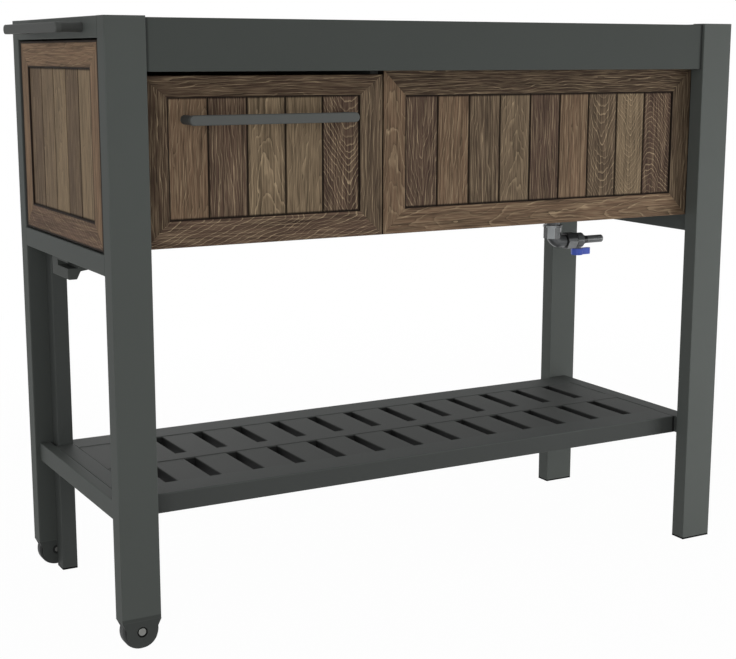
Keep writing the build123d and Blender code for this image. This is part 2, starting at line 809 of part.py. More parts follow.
# Lid hinges: end knuckles on the apron leaf, a middle knuckle on the lid leaf, a pin through all
knuckle_middle = (hinge_width - hinge_end_knuckle) / 2
lid_knuckle = hinge_width - 2 * (hinge_end_knuckle + hinge_knuckle_gap)
hinge_places = [
    lid_x + hinge_spacing * (index - (hinge_count - 1) / 2) for index in range(hinge_count)
]
bore_radius = hinge_pin_radius + hinge_pin_play
with BuildPart() as apron_leaves:
    for x in hinge_places:
        with BuildSketch(facing_front(x, rear_apron_front - hinge_leaf, hinge_z)):
            Rectangle(hinge_width, hinge_leaf_height, align=(Align.CENTER, Align.MAX))
        extrude(amount=-hinge_leaf)
        with BuildSketch(facing_front(x, hinge_y, hinge_z)):
            with GridLocations(2 * knuckle_middle, 0, 2, 1):
                Rectangle(hinge_end_knuckle, 2 * hinge_radius)
        extrude(amount=-hinge_axis_gap)
        for shift in (-knuckle_middle, knuckle_middle):
            with BuildSketch(facing_right(x + shift - hinge_end_knuckle / 2, hinge_y, hinge_z)):
                Circle(hinge_radius)
            extrude(amount=hinge_end_knuckle)
        with BuildSketch(facing_right(x - lid_knuckle / 2 - hinge_knuckle_gap, hinge_y, hinge_z)):
            Circle(hinge_radius + hinge_knuckle_gap)
        extrude(amount=lid_knuckle + 2 * hinge_knuckle_gap, mode=Mode.SUBTRACT)
        with BuildSketch(facing_right(x - hinge_width / 2, hinge_y, hinge_z)):
            Circle(bore_radius)
        extrude(amount=hinge_width, mode=Mode.SUBTRACT)
save(apron_leaves.part, "hinge_apron_leaves")

flap_drop = hinge_z - lid_bottom + hinge_leaf
with BuildPart() as lid_leaves:
    for x in hinge_places:
        with BuildSketch(facing_right(x - lid_knuckle / 2, hinge_y, hinge_z)):
            Circle(hinge_radius)
            with Locations((-hinge_lid_gap, 0)):
                Rectangle(hinge_lid_gap, hinge_radius, align=(Align.MIN, Align.MAX))
                Rectangle(hinge_leaf, flap_drop, align=(Align.MIN, Align.MAX))
            with Locations((hinge_leaf - hinge_lid_gap, -flap_drop)):
                Rectangle(hinge_flap_depth, hinge_leaf, align=(Align.MAX, Align.MIN))
            Circle(bore_radius, mode=Mode.SUBTRACT)
        extrude(amount=lid_knuckle)
save(lid_leaves.part, "hinge_lid_leaves")

with BuildPart() as hinge_pins:
    for x in hinge_places:
        with BuildSketch(facing_right(x - hinge_width / 2, hinge_y, hinge_z)):
            Circle(hinge_pin_radius)
        extrude(amount=hinge_width)
save(hinge_pins.part, "hinge_pins")

# Drain bulkhead: a flange in the basin, a shank down to the elbow, a ring under the floor
bend_top = drain_z + elbow_bend
socket_bottom = bend_top - socket_lap
socket_top = socket_bottom + socket_height
with BuildPart() as bulkhead:
    with BuildSketch(facing_up(drain_x, 0, basin_bottom + liner_wall)):
        Circle(drain_flange_radius)
    extrude(amount=drain_flange_height)
    with BuildSketch(facing_up(drain_x, 0, basin_bottom + liner_wall)):
        Circle(shank_radius)
    extrude(amount=socket_top - basin_bottom - liner_wall)
    with BuildSketch(facing_up(drain_x, 0, bottom_rail_top)):
        Circle(lock_ring_radius)
    extrude(amount=-lock_ring_height)
    with BuildSketch(facing_up(drain_x, 0, socket_top)):
        Circle(drain_bore)
    extrude(amount=basin_bottom + liner_wall + drain_flange_height - socket_top, mode=Mode.SUBTRACT)
save(bulkhead.part, "drain_bulkhead")

# Drain elbow: eight-sided socket, tight bend towards the right end, spigot for the union nut
spigot_start = drain_x + elbow_bend + elbow_end
bend_ends = [
    (drain_x, 0, bend_top),
    (drain_x + elbow_bend, 0, drain_z),
]
with BuildPart() as elbow:
    with BuildSketch(facing_up(drain_x, 0, socket_bottom)):
        RegularPolygon(socket_flat, socket_sides, major_radius=False, rotation=180 / socket_sides)
    extrude(amount=socket_height - socket_ring_height)
    with BuildSketch(facing_up(drain_x, 0, socket_top - socket_ring_height)):
        Circle(socket_ring_radius)
    extrude(amount=socket_ring_height)
    with BuildLine() as bend:
        TangentArc(bend_ends[0], bend_ends[1], tangent=(0, 0, -1))
    with BuildSketch(facing_up(*bend_ends[0])):
        Circle(elbow_radius)
    sweep(path=bend.wires()[0])
    with BuildSketch(facing_right(*bend_ends[1])):
        Circle(elbow_radius)
    extrude(amount=elbow_end)
    with BuildSketch(facing_right(spigot_start, 0, drain_z)):
        Circle(tail_radius)
    extrude(amount=tail_length)
    with BuildSketch(facing_up(drain_x, 0, socket_top)):
        Circle(drain_bore)
    extrude(amount=bend_top - socket_top, mode=Mode.SUBTRACT)
    with BuildSketch(facing_up(*bend_ends[0])):
        Circle(drain_bore)
    sweep(path=bend.wires()[0], mode=Mode.SUBTRACT)
    with BuildSketch(facing_right(*bend_ends[1])):
        Circle(drain_bore)
    extrude(amount=elbow_end + tail_length, mode=Mode.SUBTRACT)
save(elbow.part, "drain_elbow")

# Union nut over the two spigots
with BuildPart() as union_nut:
    with BuildSketch(facing_right(spigot_start, 0, drain_z)):
        RegularPolygon(nut_flat, nut_sides, major_radius=False)
        Circle(tail_radius + nut_fit, mode=Mode.SUBTRACT)
    extrude(amount=nut_length)
    chamfer(union_nut.edges().filter_by(GeomType.LINE).filter_by(Axis.X, reverse=True), nut_edge)
save(union_nut.part, "union_nut")

# Valve: body with a boss for the stem below and a hose stub towards the right end
valve_start = spigot_start + nut_length
stem_x = valve_start + valve_length / 2
neck_start = valve_start + valve_length
bead_start = neck_start + neck_length
stub_start = bead_start + bead_length
stub_end = stub_start + stub_length
boss_bottom = drain_z - valve_boss_drop
with BuildPart() as valve:
    with BuildSketch(facing_right(valve_start - tail_length, 0, drain_z)):
        Circle(tail_radius)
    extrude(amount=tail_length)
    with BuildSketch(facing_right(valve_start, 0, drain_z)):
        Circle(valve_radius)
    extrude(amount=valve_length)
    with BuildSketch(facing_up(stem_x, 0, boss_bottom)):
        Circle(valve_boss_radius)
    extrude(amount=valve_boss_drop)
    with BuildSketch(facing_right(neck_start, 0, drain_z)):
        Circle(neck_radius)
    extrude(amount=neck_length)
    with BuildSketch(facing_right(bead_start, 0, drain_z)):
        Circle(bead_radius)
    extrude(amount=bead_length)
    with BuildSketch(facing_right(stub_start, 0, drain_z)):
        Circle(stub_radius)
    extrude(amount=stub_length)
    fillet(valve.faces().sort_by(Axis.X)[-1].edges(), stub_round)
    with BuildSketch(facing_right(valve_start - tail_length, 0, drain_z)):
        Circle(stub_bore)
    extrude(amount=stub_end - valve_start + tail_length, mode=Mode.SUBTRACT)
    with BuildSketch(facing_up(stem_x, 0, boss_bottom)):
        Circle(stem_radius + stem_play)
    extrude(amount=stem_socket, mode=Mode.SUBTRACT)
save(valve.part, "valve_body")

# Valve lever: round hub with a stem up into the boss and one wing along the pipe
lever_top = boss_bottom - lever_gap
with BuildPart() as lever:
    with BuildSketch(facing_up(stem_x, 0, lever_top - lever_height)):
        Circle(lever_radius)
        Rectangle(lever_reach, lever_width, align=(Align.MIN, Align.CENTER))
        with Locations((lever_reach, 0)):
            Circle(lever_width / 2)
    extrude(amount=lever_height)
    fillet(lever.faces().sort_by(Axis.Z)[0].edges(), lever_edge)
    with BuildSketch(facing_up(stem_x, 0, lever_top)):
        Circle(stem_radius)
    extrude(amount=stem_socket)
save(lever.part, "valve_lever")

# Side pull on the left top rail
save(grip(facing_left(left, 0, height - rail_size / 2)), "pull_handle")

# Bottle opener: lip with a mouth that opens to the outside and the front, and a curved tail behind
opener_top = bottom_rail_top - rail_size
opener_bottom = opener_top - opener_drop
lip_left = left + opener_inset
lip_right = lip_left + opener_lip
tail_right = lip_right + opener_tail
tail_bottom = opener_top - opener_tail_drop
block_right = left + rail_size
opener_front = opener_offset - opener_length / 2
with BuildPart() as opener:
    with BuildSketch(facing_front(0, opener_front, 0)):
        with BuildLine():
            FilletPolyline(
                (lip_left, opener_top),
                (lip_left, opener_bottom),
                (lip_right, opener_bottom),
                (lip_right + opener_curve, tail_bottom),
                (tail_right, tail_bottom + opener_curve / 2),
                (tail_right, tail_bottom + opener_curve / 2 + opener_tail_height),
                (block_right, opener_top),
                radius=opener_curve / 3,
            )
            Line((block_right, opener_top), (lip_left, opener_top))
        make_face()
    extrude(amount=-opener_length)
    with BuildSketch(facing_left(lip_left, opener_front, opener_top - mouth_top)):
        Rectangle(mouth_length, mouth_height, align=(Align.MAX, Align.MAX))
    extrude(amount=-mouth_depth, mode=Mode.SUBTRACT)
save(opener.part, "bottle_opener")
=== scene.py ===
"""Looks of a rolling patio table with a drawer and a drained cooler.

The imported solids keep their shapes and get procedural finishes, which also hold some of the
photograph's shading. Shelf slats with rolled edges and the screw heads of the hinges and slides are
made with Geometry Nodes, and a plain studio with the photograph's camera stands round the table.
"""

import logging
import math
from dataclasses import dataclass, field
from enum import Enum
from typing import Any, Callable, Mapping, Sequence, Union

import bpy
from mathutils import Color, Matrix, Vector


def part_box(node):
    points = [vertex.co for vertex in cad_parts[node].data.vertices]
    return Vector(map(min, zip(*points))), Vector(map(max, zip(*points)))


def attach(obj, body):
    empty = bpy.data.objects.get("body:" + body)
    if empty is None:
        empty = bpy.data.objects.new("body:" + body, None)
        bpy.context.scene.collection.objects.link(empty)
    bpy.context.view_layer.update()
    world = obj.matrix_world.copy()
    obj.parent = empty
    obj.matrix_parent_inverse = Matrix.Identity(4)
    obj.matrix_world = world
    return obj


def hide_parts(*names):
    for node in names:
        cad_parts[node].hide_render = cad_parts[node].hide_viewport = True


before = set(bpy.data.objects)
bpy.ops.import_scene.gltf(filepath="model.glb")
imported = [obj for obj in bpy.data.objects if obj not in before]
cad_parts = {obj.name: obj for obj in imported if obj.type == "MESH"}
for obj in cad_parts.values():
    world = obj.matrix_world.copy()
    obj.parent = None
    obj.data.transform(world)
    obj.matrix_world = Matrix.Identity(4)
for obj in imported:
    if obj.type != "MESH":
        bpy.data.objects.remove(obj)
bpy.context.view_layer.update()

LOG = logging.getLogger("party_table")
MM = 0.001
PER_MM = 1000.0
WAYS = ((1.0, 0.0, 0.0), (0.0, 1.0, 0.0), (0.0, 0.0, 1.0))
X_WAY, Y_WAY, Z_WAY = WAYS
LEFTWARDS = (-1.0, 0.0, 0.0)
FRONTWARDS = (0.0, -1.0, 0.0)
DOWNWARDS = (0.0, 0.0, -1.0)
WHITE = (1.0, 1.0, 1.0, 1.0)
HALF = 0.5
RIGHT_ANGLE = 90.0
SHOWING_RAYS = ("Is Camera Ray", "Is Glossy Ray", "Is Transmission Ray")
# Numbers of the colour sockets on a Mix node
MIX_SHARE, MIX_HERE, MIX_THERE, MIX_RESULT = 0, 6, 7, 2
Colour = tuple[float, float, float, float]
Point = tuple[float, float, float]
Span = tuple[float, float]
Names = tuple[str, ...]
Pairs = tuple[tuple[str, str], ...]
Options = Mapping[Any, Any] | None
Feed = dict[str, Any]
Operand = Union["Term", float]
Spot = Sequence["Term"]
Layers = tuple["Layer", ...]
Bands = tuple["Band", ...]
Planks = tuple["Plank", ...]


class Body(Enum):
    """The bodies that new pieces ride on."""

    TABLE = "table"
    DRAWER = "drawer"
    LID = "lid"


class Slot(Enum):
    """Names of the record's material slots, which nothing here uses."""

    PAINT = "frame_paint"
    STEEL = "steel"


class Side(Enum):
    """The way that a panel faces: the axis that runs across it."""

    FRONT = 0
    END = 1


class Tone(Enum):
    """Colours that the boards have after weathering, as hex codes; the two darkest are painted shade."""

    PALE = "796853"
    SAND = "6d5d4b"
    WARM = "725c49"
    GREY = "594a3c"
    DARK = "5b483c"
    UMBER = "524036"
    # painted shade: the two darkest tones go on bars under an apron or beside a leg
    DEEP = "4c3c30"
    BROWN = "44362b"


class Figure(Enum):
    """How the trunk's rings meet a board: ring centre, depth under the face, and lean.

    Each number is a share from 0 to 1. A centre of 0.5 is the middle of the board and a lean of
    0.5 is none.
    """

    STRAIGHT = (0.02, 0.30, 0.515)
    STRAIGHT_BACK = (0.98, 0.25, 0.48)
    WAVE = (0.84, 0.40, 0.545)
    CREST = (0.50, 0.46, 0.56)
    LONG_VEE = (0.52, 0.06, 0.44)
    NOTCH = (0.53, 0.28, 0.34)
    VEE = (0.52, 0.08, 0.28)
    BOWL = (0.66, 0.34, 0.31)
    DOME = (0.37, 0.30, 0.75)
    SWEEP = (0.72, 0.18, 0.66)
    EYE = (0.44, 0.50, 0.46)


def linear(code: str) -> Colour:
    """Turns six hex digits into the linear colour that nodes take."""
    channels = [int(code[start : start + 2], 16) / 255 for start in (0, 2, 4)]
    return (*Color(channels).from_srgb_to_scene_linear(), 1.0)


def box_mm(node: str) -> tuple[Vector, Vector]:
    """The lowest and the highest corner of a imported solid, in millimetres."""
    low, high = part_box(node)
    return low * PER_MM, high * PER_MM


def add_object(name: str, data: bpy.types.ID) -> bpy.types.Object:
    """Adds an object to the scene.

    Args:
        name: The object's name.
        data: Its mesh, lamp or camera.

    Returns:
        The object.
    """
    made = bpy.data.objects.new(name, data)
    bpy.context.scene.collection.objects.link(made)
    return made


def maths(operation: str, swapped: bool = False) -> Callable[..., "Term"]:
    """Makes a method of Term that adds one Math node.

    Args:
        operation: The node's operation.
        swapped: Whether the term itself comes last.

    Returns:
        The method.
    """

    def method(term: "Term", *others: Operand) -> "Term":
        """Adds the node and gives its result."""
        operands = (*others, term) if swapped else (term, *others)
        return term.recipe.term("ShaderNodeMath", dict(enumerate(operands)), {"operation": operation})

    return method


class Term:
    """A node's output that takes part in Python arithmetic."""

    __add__ = __radd__ = maths("ADD")
    __sub__ = maths("SUBTRACT")
    __rsub__ = maths("SUBTRACT", swapped=True)
    __mul__ = __rmul__ = maths("MULTIPLY")
    __truediv__ = maths("DIVIDE")
    __lt__ = maths("LESS_THAN")
    __gt__ = maths("GREATER_THAN")
    __abs__ = maths("ABSOLUTE")
    __floor__ = maths("FLOOR")
    part = maths("FRACT")
    root = maths("SQRT")
    least = maths("MINIMUM")
    most = maths("MAXIMUM")

    def __init__(self, recipe: "Recipe", socket: bpy.types.NodeSocket) -> None:
        """Keeps the socket and the recipe whose nodes it belongs to."""
        self.recipe = recipe
        self.socket = socket

    def rise(self, low: float, high: float) -> "Term":
        """Climbs smoothly from nought at low to one at high."""
        span = {"Value": self, "From Min": low, "From Max": high}
        return self.recipe.term("ShaderNodeMapRange", span, {"interpolation_type": "SMOOTHSTEP"})

    def blend(self, here: Operand, there: Operand) -> "Term":
        """Goes from one number to another as this goes from nought to one."""
        return here + self * (there - here)


class Recipe:
    """A node tree in the making, with one method that adds any node."""

    def __init__(self, tree: bpy.types.NodeTree) -> None:
        """Keeps the tree that the nodes go into."""
        self.tree = tree

    def node(self, kind: str, inputs: Options = None, settings: Options = None) -> bpy.types.Node:
        """Adds a node.

        Args:
            kind: The node's type.
            inputs: Values or links by the input's name or number.
            settings: Its properties, set before the inputs.

        Returns:
            The new node.
        """
        made = self.tree.nodes.new(kind)
        for key, value in (settings or {}).items():
            setattr(made, key, value)
        self.feed(made, inputs or {})
        return made

    def feed(self, node: bpy.types.Node, inputs: Mapping[Any, Any]) -> None:
        """Sets or links a node's inputs.

        Args:
            node: The node.
            inputs: Values or links by the input's name or number.
        """
        for key, value in inputs.items():
            if isinstance(value, Term):
                self.tree.links.new(value.socket, node.inputs[key])
            else:
                node.inputs[key].default_value = value

    def term(self, kind: str, inputs: Options = None, settings: Options = None, output: Any = 0) -> Term:
        """Adds a node and takes one of its outputs, by name or number."""
        return Term(self, self.node(kind, inputs, settings).outputs[output])

    def split(self, vector: Term) -> tuple[Term, Term, Term]:
        """Takes a vector or colour apart."""
        x, y, z = self.node("ShaderNodeSeparateXYZ", {0: vector}).outputs
        return Term(self, x), Term(self, y), Term(self, z)

    def vector(self, x: Operand, y: Operand, z: Operand) -> Term:
        """Puts three numbers together."""
        return self.term("ShaderNodeCombineXYZ", {0: x, 1: y, 2: z})

    def scaled(self, start: Term | Colour, amount: Operand) -> Term:
        """Multiplies a vector or a colour by a number."""
        first = start if isinstance(start, Term) else start[:3]
        return self.term("ShaderNodeVectorMath", {0: first, "Scale": amount}, {"operation": "SCALE"})

    def place(self) -> tuple[Term, Term, Term]:
        """The point on the piece, in millimetres of the table's own frame."""
        return self.split(self.scaled(self.term("ShaderNodeTexCoord", output="Object"), PER_MM))

    def chance(self, seed: Term) -> Term:
        """A number from 0 to 1 that is fixed for each seed."""
        return self.term("ShaderNodeTexWhiteNoise", {"W": seed}, {"noise_dimensions": "1D"}, "Value")

    def mix(self, share: Operand, here: Term | Colour, there: Term | Colour) -> Term:
        """Goes from one colour, at a share of 0, to another, at 1."""
        inputs = {MIX_SHARE: share, MIX_HERE: here, MIX_THERE: there}
        return self.term("ShaderNodeMix", inputs, {"data_type": "RGBA"}, MIX_RESULT)

    def choose(self, index: Term, colours: Sequence[Colour]) -> Term:
        """Picks one of several colours by a whole number.

        Args:
            index: The number, from 0.
            colours: The colours to pick from.

        Returns:
            The picked colour.
        """
        count = len(colours)
        made = self.node("ShaderNodeValToRGB", {"Fac": (index + HALF) / count})
        ramp = made.color_ramp
        ramp.interpolation = "CONSTANT"
        ramp.elements.remove(ramp.elements[1])
        for number, colour in enumerate(colours):
            stop = ramp.elements.new(number / count) if number else ramp.elements[0]
            stop.color = colour
        return Term(self, made.outputs[0])

    def seen(self) -> Term:
        """One for rays that show the background: seen straight, mirrored or through glass."""
        rays = self.node("ShaderNodeLightPath").outputs
        return sum(Term(self, rays[kind]) for kind in SHOWING_RAYS).least(1.0)

    def relief(self, height: Term, depth: float, strength: float) -> Term:
        """A bumped normal from a height of 0 to 1, where 1 stands for a depth in metres."""
        return self.term("ShaderNodeBump", {"Height": height, "Distance": depth, "Strength": strength})


@dataclass(frozen=True)
class Layer:
    """Cloudy noise over a piece, and what it adds to the tone, the roughness and the height.

    Scale and spread, the latter for each axis, say how fine it is. Shift moves it along the third
    axis. A span stretches the noise between two of its levels.
    """

    scale: float = 1.0
    detail: float = 2.0
    spread: Point = (1.0, 1.0, 1.0)
    shift: float = 0.0
    span: Span | None = None
    tone: float = 0.0
    rough: float = 0.0
    height: float = 0.0

    def draw(self, recipe: Recipe, spot: Spot) -> Term:
        """Adds the noise.

        Args:
            recipe: The material's nodes.
            spot: The point in millimetres.

        Returns:
            The noise, from 0 to 1.
        """
        x, y, z = (term if part == 1.0 else term * part for term, part in zip(spot, self.spread))
        point = recipe.vector(x, y, z + self.shift if self.shift else z)
        inputs = {"Vector": point, "Scale": self.scale, "Detail": self.detail}
        noise = recipe.term("ShaderNodeTexNoise", inputs)
        return noise if self.span is None else noise.rise(*self.span)


def grain(along: float, across: float, shift: float = 0.0, detail: float = 2.0, **looks: Any) -> Layer:
    """Noise that is stretched along a plank, with how fine it is along and across."""
    return Layer(1.0, detail, (along, across, 1.0), shift, **looks)


def moulded(spark: float) -> Layers:
    """The flow marks of moulded plastic and its spark grain, with how fine the grain is."""
    return Layer(0.02, tone=0.16), Layer(spark, tone=0.08, rough=0.18, height=1.0)


def drawn(along: int, smooth: float = 0.02, lined: float = 2.2) -> Layers:
    """The lines of steel drawn along an axis, how fine they are both ways, and the plating's clouds."""
    spread = tuple(smooth if axis == along else lined for axis in range(3))
    return Layer(spread=spread, tone=0.18, rough=0.14, height=1.0), Layer(0.12, 3.0, tone=0.18, rough=0.14)


@dataclass(frozen=True)
class Finish:
    """What every finish has: a name and a way to fill a material's nodes."""

    name: str

    def fill(self, recipe: Recipe) -> Feed:
        """Adds the nodes of this finish.

        Args:
            recipe: The material's nodes.

        Returns:
            What the surface shader is fed.
        """
        raise NotImplementedError

    def material(self) -> bpy.types.Material:
        """Makes the material, once for each name.

        Returns:
            The material.
        """
        known = bpy.data.materials.get(self.name)
        if known is not None:
            return known
        made = bpy.data.materials.new(self.name)
        made.use_nodes = True
        recipe = Recipe(made.node_tree)
        recipe.feed(made.node_tree.nodes["Principled BSDF"], self.fill(recipe))
        return made


@dataclass(frozen=True)
class Band:
    """A stretch of a piece with painted shade, or with a painted highlight where share is above one.

    It lies along a direction, to either side of a middle, or round a hub, a place along and above.
    The tone changes over the fade, two distances from the edge in millimetres, and is multiplied by
    share from there on. Within is a second band that it is kept to.
    """

    way: Point
    edge: float
    fade: Span
    share: float
    middle: float | None = None
    hub: Span | None = None
    within: "Band | None" = None

    def reach(self, spot: Spot) -> Term:
        """How far into the band a point lies.

        Args:
            spot: The point in millimetres.

        Returns:
            Nought outside and one inside.
        """
        along = sum(term * part for term, part in zip(spot, self.way) if part)
        if self.middle is not None:
            along = abs(along - self.middle)
        if self.hub is not None:
            aside, up = spot[0] - self.hub[0], spot[2] - self.hub[1]
            along = (aside * aside + up * up).root()
        inside = along.rise(self.edge + self.fade[0], self.edge + self.fade[1])
        return inside if self.within is None else inside * self.within.reach(spot)


@dataclass(frozen=True)
class Skin(Finish):
    """A plain colour under layers of noise, with bands of painted shade and painted highlight.

    Depth, in metres, and strength are those of the relief. A tube's box, in millimetres, gives it
    painted highlights on its edges, where the first layer lets them show.
    """

    code: str
    layers: Layers = ()
    tone: float = 1.0
    rough: float = 0.5
    depth: float = 0.0002
    strength: float = 0.25
    shine: float = 0.5
    metal: float = 0.0
    bands: Bands = ()
    box: tuple[Point, Point] | None = None
    edge_highlight: float = 0.32
    edge_highlight_fade: Span = (0.2, 1.6)
    highlight_patches: Span = (0.25, 0.6)
    dust: Layer | None = None
    dust_code: str = "45433f"

    def fill(self, recipe: Recipe) -> Feed:
        """Adds the nodes of this finish.

        Args:
            recipe: The material's nodes.

        Returns:
            What the surface shader is fed.
        """
        spot = recipe.place()
        pairs = [(layer, layer.draw(recipe, spot)) for layer in self.layers]
        tone = self.tone + sum(noise * layer.tone for layer, noise in pairs if layer.tone)
        # painted highlight on the tube's edges, in patches where the first layer lets it show
        if self.box is not None:
            corners = zip(spot, *self.box)
            x, y, z = ((high - low) / 2 - abs(term - (low + high) / 2) for term, low, high in corners)
            edges = 1 - x.least(y).most(x.most(y).least(z)).rise(*self.edge_highlight_fade)
            tone = tone + edges * self.edge_highlight * pairs[0][1].rise(*self.highlight_patches)
        # painted shade and painted highlights of the bands
        for band in self.bands:
            tone = tone * band.reach(spot).blend(1.0, band.share)
        colour = recipe.scaled(linear(self.code), tone)
        if self.dust is not None:
            dusty = self.dust.draw(recipe, spot) * self.dust.tone
            colour = recipe.mix(dusty, colour, linear(self.dust_code))
        height = sum(noise * layer.height for layer, noise in pairs if layer.height)
        return {
            "Base Color": colour,
            "Roughness": self.rough + sum(noise * layer.rough for layer, noise in pairs if layer.rough),
            "Metallic": self.metal,
            "Specular IOR Level": self.shine,
            "Normal": recipe.relief(height, self.depth, self.strength),
        }


@dataclass(frozen=True)
class PowderCoat(Skin):
    """Satin powder coat with clouds, fine orange peel and grit, and painted highlights on a tube's edges.
    """

    layers: Layers = (
        Layer(0.006, 3.0, tone=0.10),
        Layer(0.55, height=1.0),
        Layer(1.7, 1.0, tone=0.16, rough=0.16, height=0.5),
    )
    tone: float = 0.85
    rough: float = 0.58
    depth: float = 0.00025
    strength: float = 0.22
    shine: float = 0.25


@dataclass(frozen=True)
class MouldedPlastic(Skin):
    """Moulded plastic with faint flow marks and a light spark grain."""

    layers: Layers = moulded(0.9)
    tone: float = 0.88
    rough: float = 0.41


@dataclass(frozen=True)
class PlatedSteel(Skin):
    """Zinc-plated steel with drawn lines and cloudy patches in the plating."""

    code: str = "a5a6a2"
    layers: Layers = drawn(0)
    tone: float = 0.80
    rough: float = 0.26
    depth: float = 0.0001
    strength: float = 0.2
    metal: float = 1.0


@dataclass(frozen=True)
class FacedBoard(Skin):
    """Dark faced board with a fine pressed pore."""

    code: str = "4d4d4a"
    layers: Layers = (
        Layer(1.0, 3.0, (1.4, 0.05, 1.4), tone=0.14, rough=0.2, height=1.0),
        Layer(0.01, tone=0.12),
    )
    tone: float = 0.86
    rough: float = 0.44
    depth: float = 0.00015
    strength: float = 0.3


@dataclass(frozen=True)
class Rubber(Skin):
    """Soft black strip, dull and a little dusty."""

    code: str = "1c1c1c"
    layers: Layers = (Layer(1.2, 1.0, rough=0.2, height=1.0),)
    rough: float = 0.72
    depth: float = 0.00015
    strength: float = 0.3
    dust: Layer | None = Layer(0.08, 3.0, span=(0.5, 0.85), tone=0.4)


@dataclass(frozen=True)
class Plank:
    """One piece of timber: its tone and how its grain runs."""

    tone: Tone
    figure: Figure

    @classmethod
    def row(cls, names: str) -> Planks:
        """Planks by the names of their tones and figures, with commas in between."""
        pairs = (name.split() for name in names.split(","))
        return tuple(cls(Tone[tone], Figure[figure]) for tone, figure in pairs)


@dataclass(frozen=True)
class LimedOak(Finish):
    """Weathered oak whose open pores and early-wood rings hold pale lime.

    The sizes are millimetres, apart from the relief's depth in metres. Each plank has its own tone
    and its own cut through the rings, which noise bends by the sizes in drift.
    """

    planks: Planks
    seed: float
    side: Side = Side.FRONT
    # lift scales the tone; above one it is painted light
    lift: float = 1.0
    lime: str = "b39e80"
    soot_and_shade: str = "150e0a"
    ring: float = 5.2
    rake: float = 2.4
    width: float = 90.0
    under: float = 40.0
    key_step: float = 7.31
    drift: tuple[tuple[Layer, float], ...] = (
        (grain(0.010, 0.028), 26.0),
        (grain(0.028, 0.10, 3.0), 5.5),
        (grain(0.05, 0.30), 1.3),
    )
    early: Span = (0.4, 1.5)
    late: Span = (0.0, 1.5)
    late_tone: float = -0.2
    slanted: float = 0.15
    straight_lime: float = 0.55
    faint_lime: float = 0.25
    bare_lime: float = 0.6
    pore_lime: float = 0.42
    dull_lime: float = 0.3
    lime_share: float = 0.8
    lime_most: float = 0.9
    tone: float = 0.52
    hair: Layer = grain(0.020, 0.66, span=(0.46, 0.62), height=-0.5)
    pore: Layer = grain(0.030, 0.75, 2.0, span=(0.5, 0.64), tone=-0.24)
    fibre: Layer = grain(0.016, 0.42, 9.0, 3.0, span=(0.3, 0.7), tone=0.46)
    streak: Layer = grain(0.006, 0.09, 5.0, 3.0, tone=0.28)
    streak_span: Span = (0.3, 0.7)
    stain_span: Span = (0.60, 0.78)
    stain: float = 0.45
    ring_height: float = -0.5
    rough: float = 0.66
    pore_rough: float = 0.18
    depth: float = 0.0005
    strength: float = 0.45
    shine: float = 0.1

    def lay(self, spot: Spot) -> tuple[Term, Term, Term, Term]:
        """Says where on which plank a point lies.

        Args:
            spot: The point in millimetres.

        Returns:
            The plank's number from 0, the place along the grain, the place across it from the
            plank's middle, and how much grime and painted shade sit in a joint there.
        """
        raise NotImplementedError

    def fill(self, recipe: Recipe) -> Feed:
        """Draws the grain of every plank.

        Args:
            recipe: The material's nodes.

        Returns:
            What the surface shader is fed.
        """
        index, along, across, grime_and_shade = self.lay(recipe.place())
        key = index * self.key_step + self.seed
        spot = (along, across, key)
        tones = recipe.choose(index, [linear(plank.tone.value) for plank in self.planks])
        cuts = recipe.choose(index, [(*plank.figure.value, 1.0) for plank in self.planks])
        centre, depth, lean = recipe.split(cuts)

        aside = across - (centre - HALF) * self.width
        under = depth * self.under
        reach = (aside * aside + under * under).root()
        drift = sum((layer.draw(recipe, spot) - HALF) * size for layer, size in self.drift)
        rings = (reach + along * (lean - HALF) * self.rake + drift) / self.ring + key
        turn = rings.part()
        bold = recipe.chance(math.floor(rings) + key).blend(self.faint_lime, 1.0)
        force = abs(lean - HALF).rise(0.0, self.slanted).blend(self.straight_lime, 1.0)
        early = 1 - ((1 - turn) * self.ring).rise(*self.early)
        late = 1 - (turn * self.ring).rise(*self.late)

        fine = (self.hair, self.pore, self.fibre, self.streak)
        hair, pore, fibre, streak = (layer.draw(recipe, spot) for layer in fine)
        limed = early * force * bold * hair.blend(self.bare_lime, 1.0)
        limed = limed + hair * fibre.blend(self.dull_lime, 1.0) * self.pore_lime

        shade = self.tone + fibre * self.fibre.tone + pore * self.pore.tone + late * self.late_tone
        shade = shade + streak.rise(*self.streak_span) * self.streak.tone
        body = recipe.scaled(tones, shade * self.lift)
        stained = recipe.mix(streak.rise(*self.stain_span) * self.stain, body, linear(self.soot_and_shade))
        colour = recipe.mix((limed * self.lime_share).least(self.lime_most), stained, linear(self.lime))
        height = 1 + early * self.ring_height + hair * self.hair.height
        return {
            # grime and painted shade in a joint, in the stain's colour
            "Base Color": recipe.mix(grime_and_shade, colour, linear(self.soot_and_shade)),
            "Roughness": self.rough + (1 - height) * self.pore_rough,
            "Normal": recipe.relief(height, self.depth, self.strength),
            "Specular IOR Level": self.shine,
        }


@dataclass(frozen=True)
class BoardOak(LimedOak):
    """The upright boards inside a panel's frame, with grime and painted shade in their grooves and ends.
    """

    start: float = 0.0
    pitch: float = 60.0
    level: float = 0.0
    reach: float = 100.0
    groove: Span = (2.5, 0.9)
    ends: Span = (3.5, 0.5)
    grime_and_shade: float = 0.9

    def lay(self, spot: Spot) -> tuple[Term, Term, Term, Term]:
        """Says where on which board a point lies.

        Args:
            spot: The point in millimetres.

        Returns:
            The board's number, the places along and across, and the grime and painted shade.
        """
        count = (spot[self.side.value] - self.start) / self.pitch
        index = math.floor(count).most(0.0).least(float(len(self.planks) - 1))
        across = (count - index - HALF) * self.pitch
        # grime and painted shade in the grooves between boards and at the board ends
        groove = abs(across).rise(*(self.pitch / 2 - inset for inset in self.groove))
        ends = abs(spot[2] - self.level).rise(*(self.reach - inset for inset in self.ends))
        return index, spot[2], across, groove.most(ends) * self.grime_and_shade


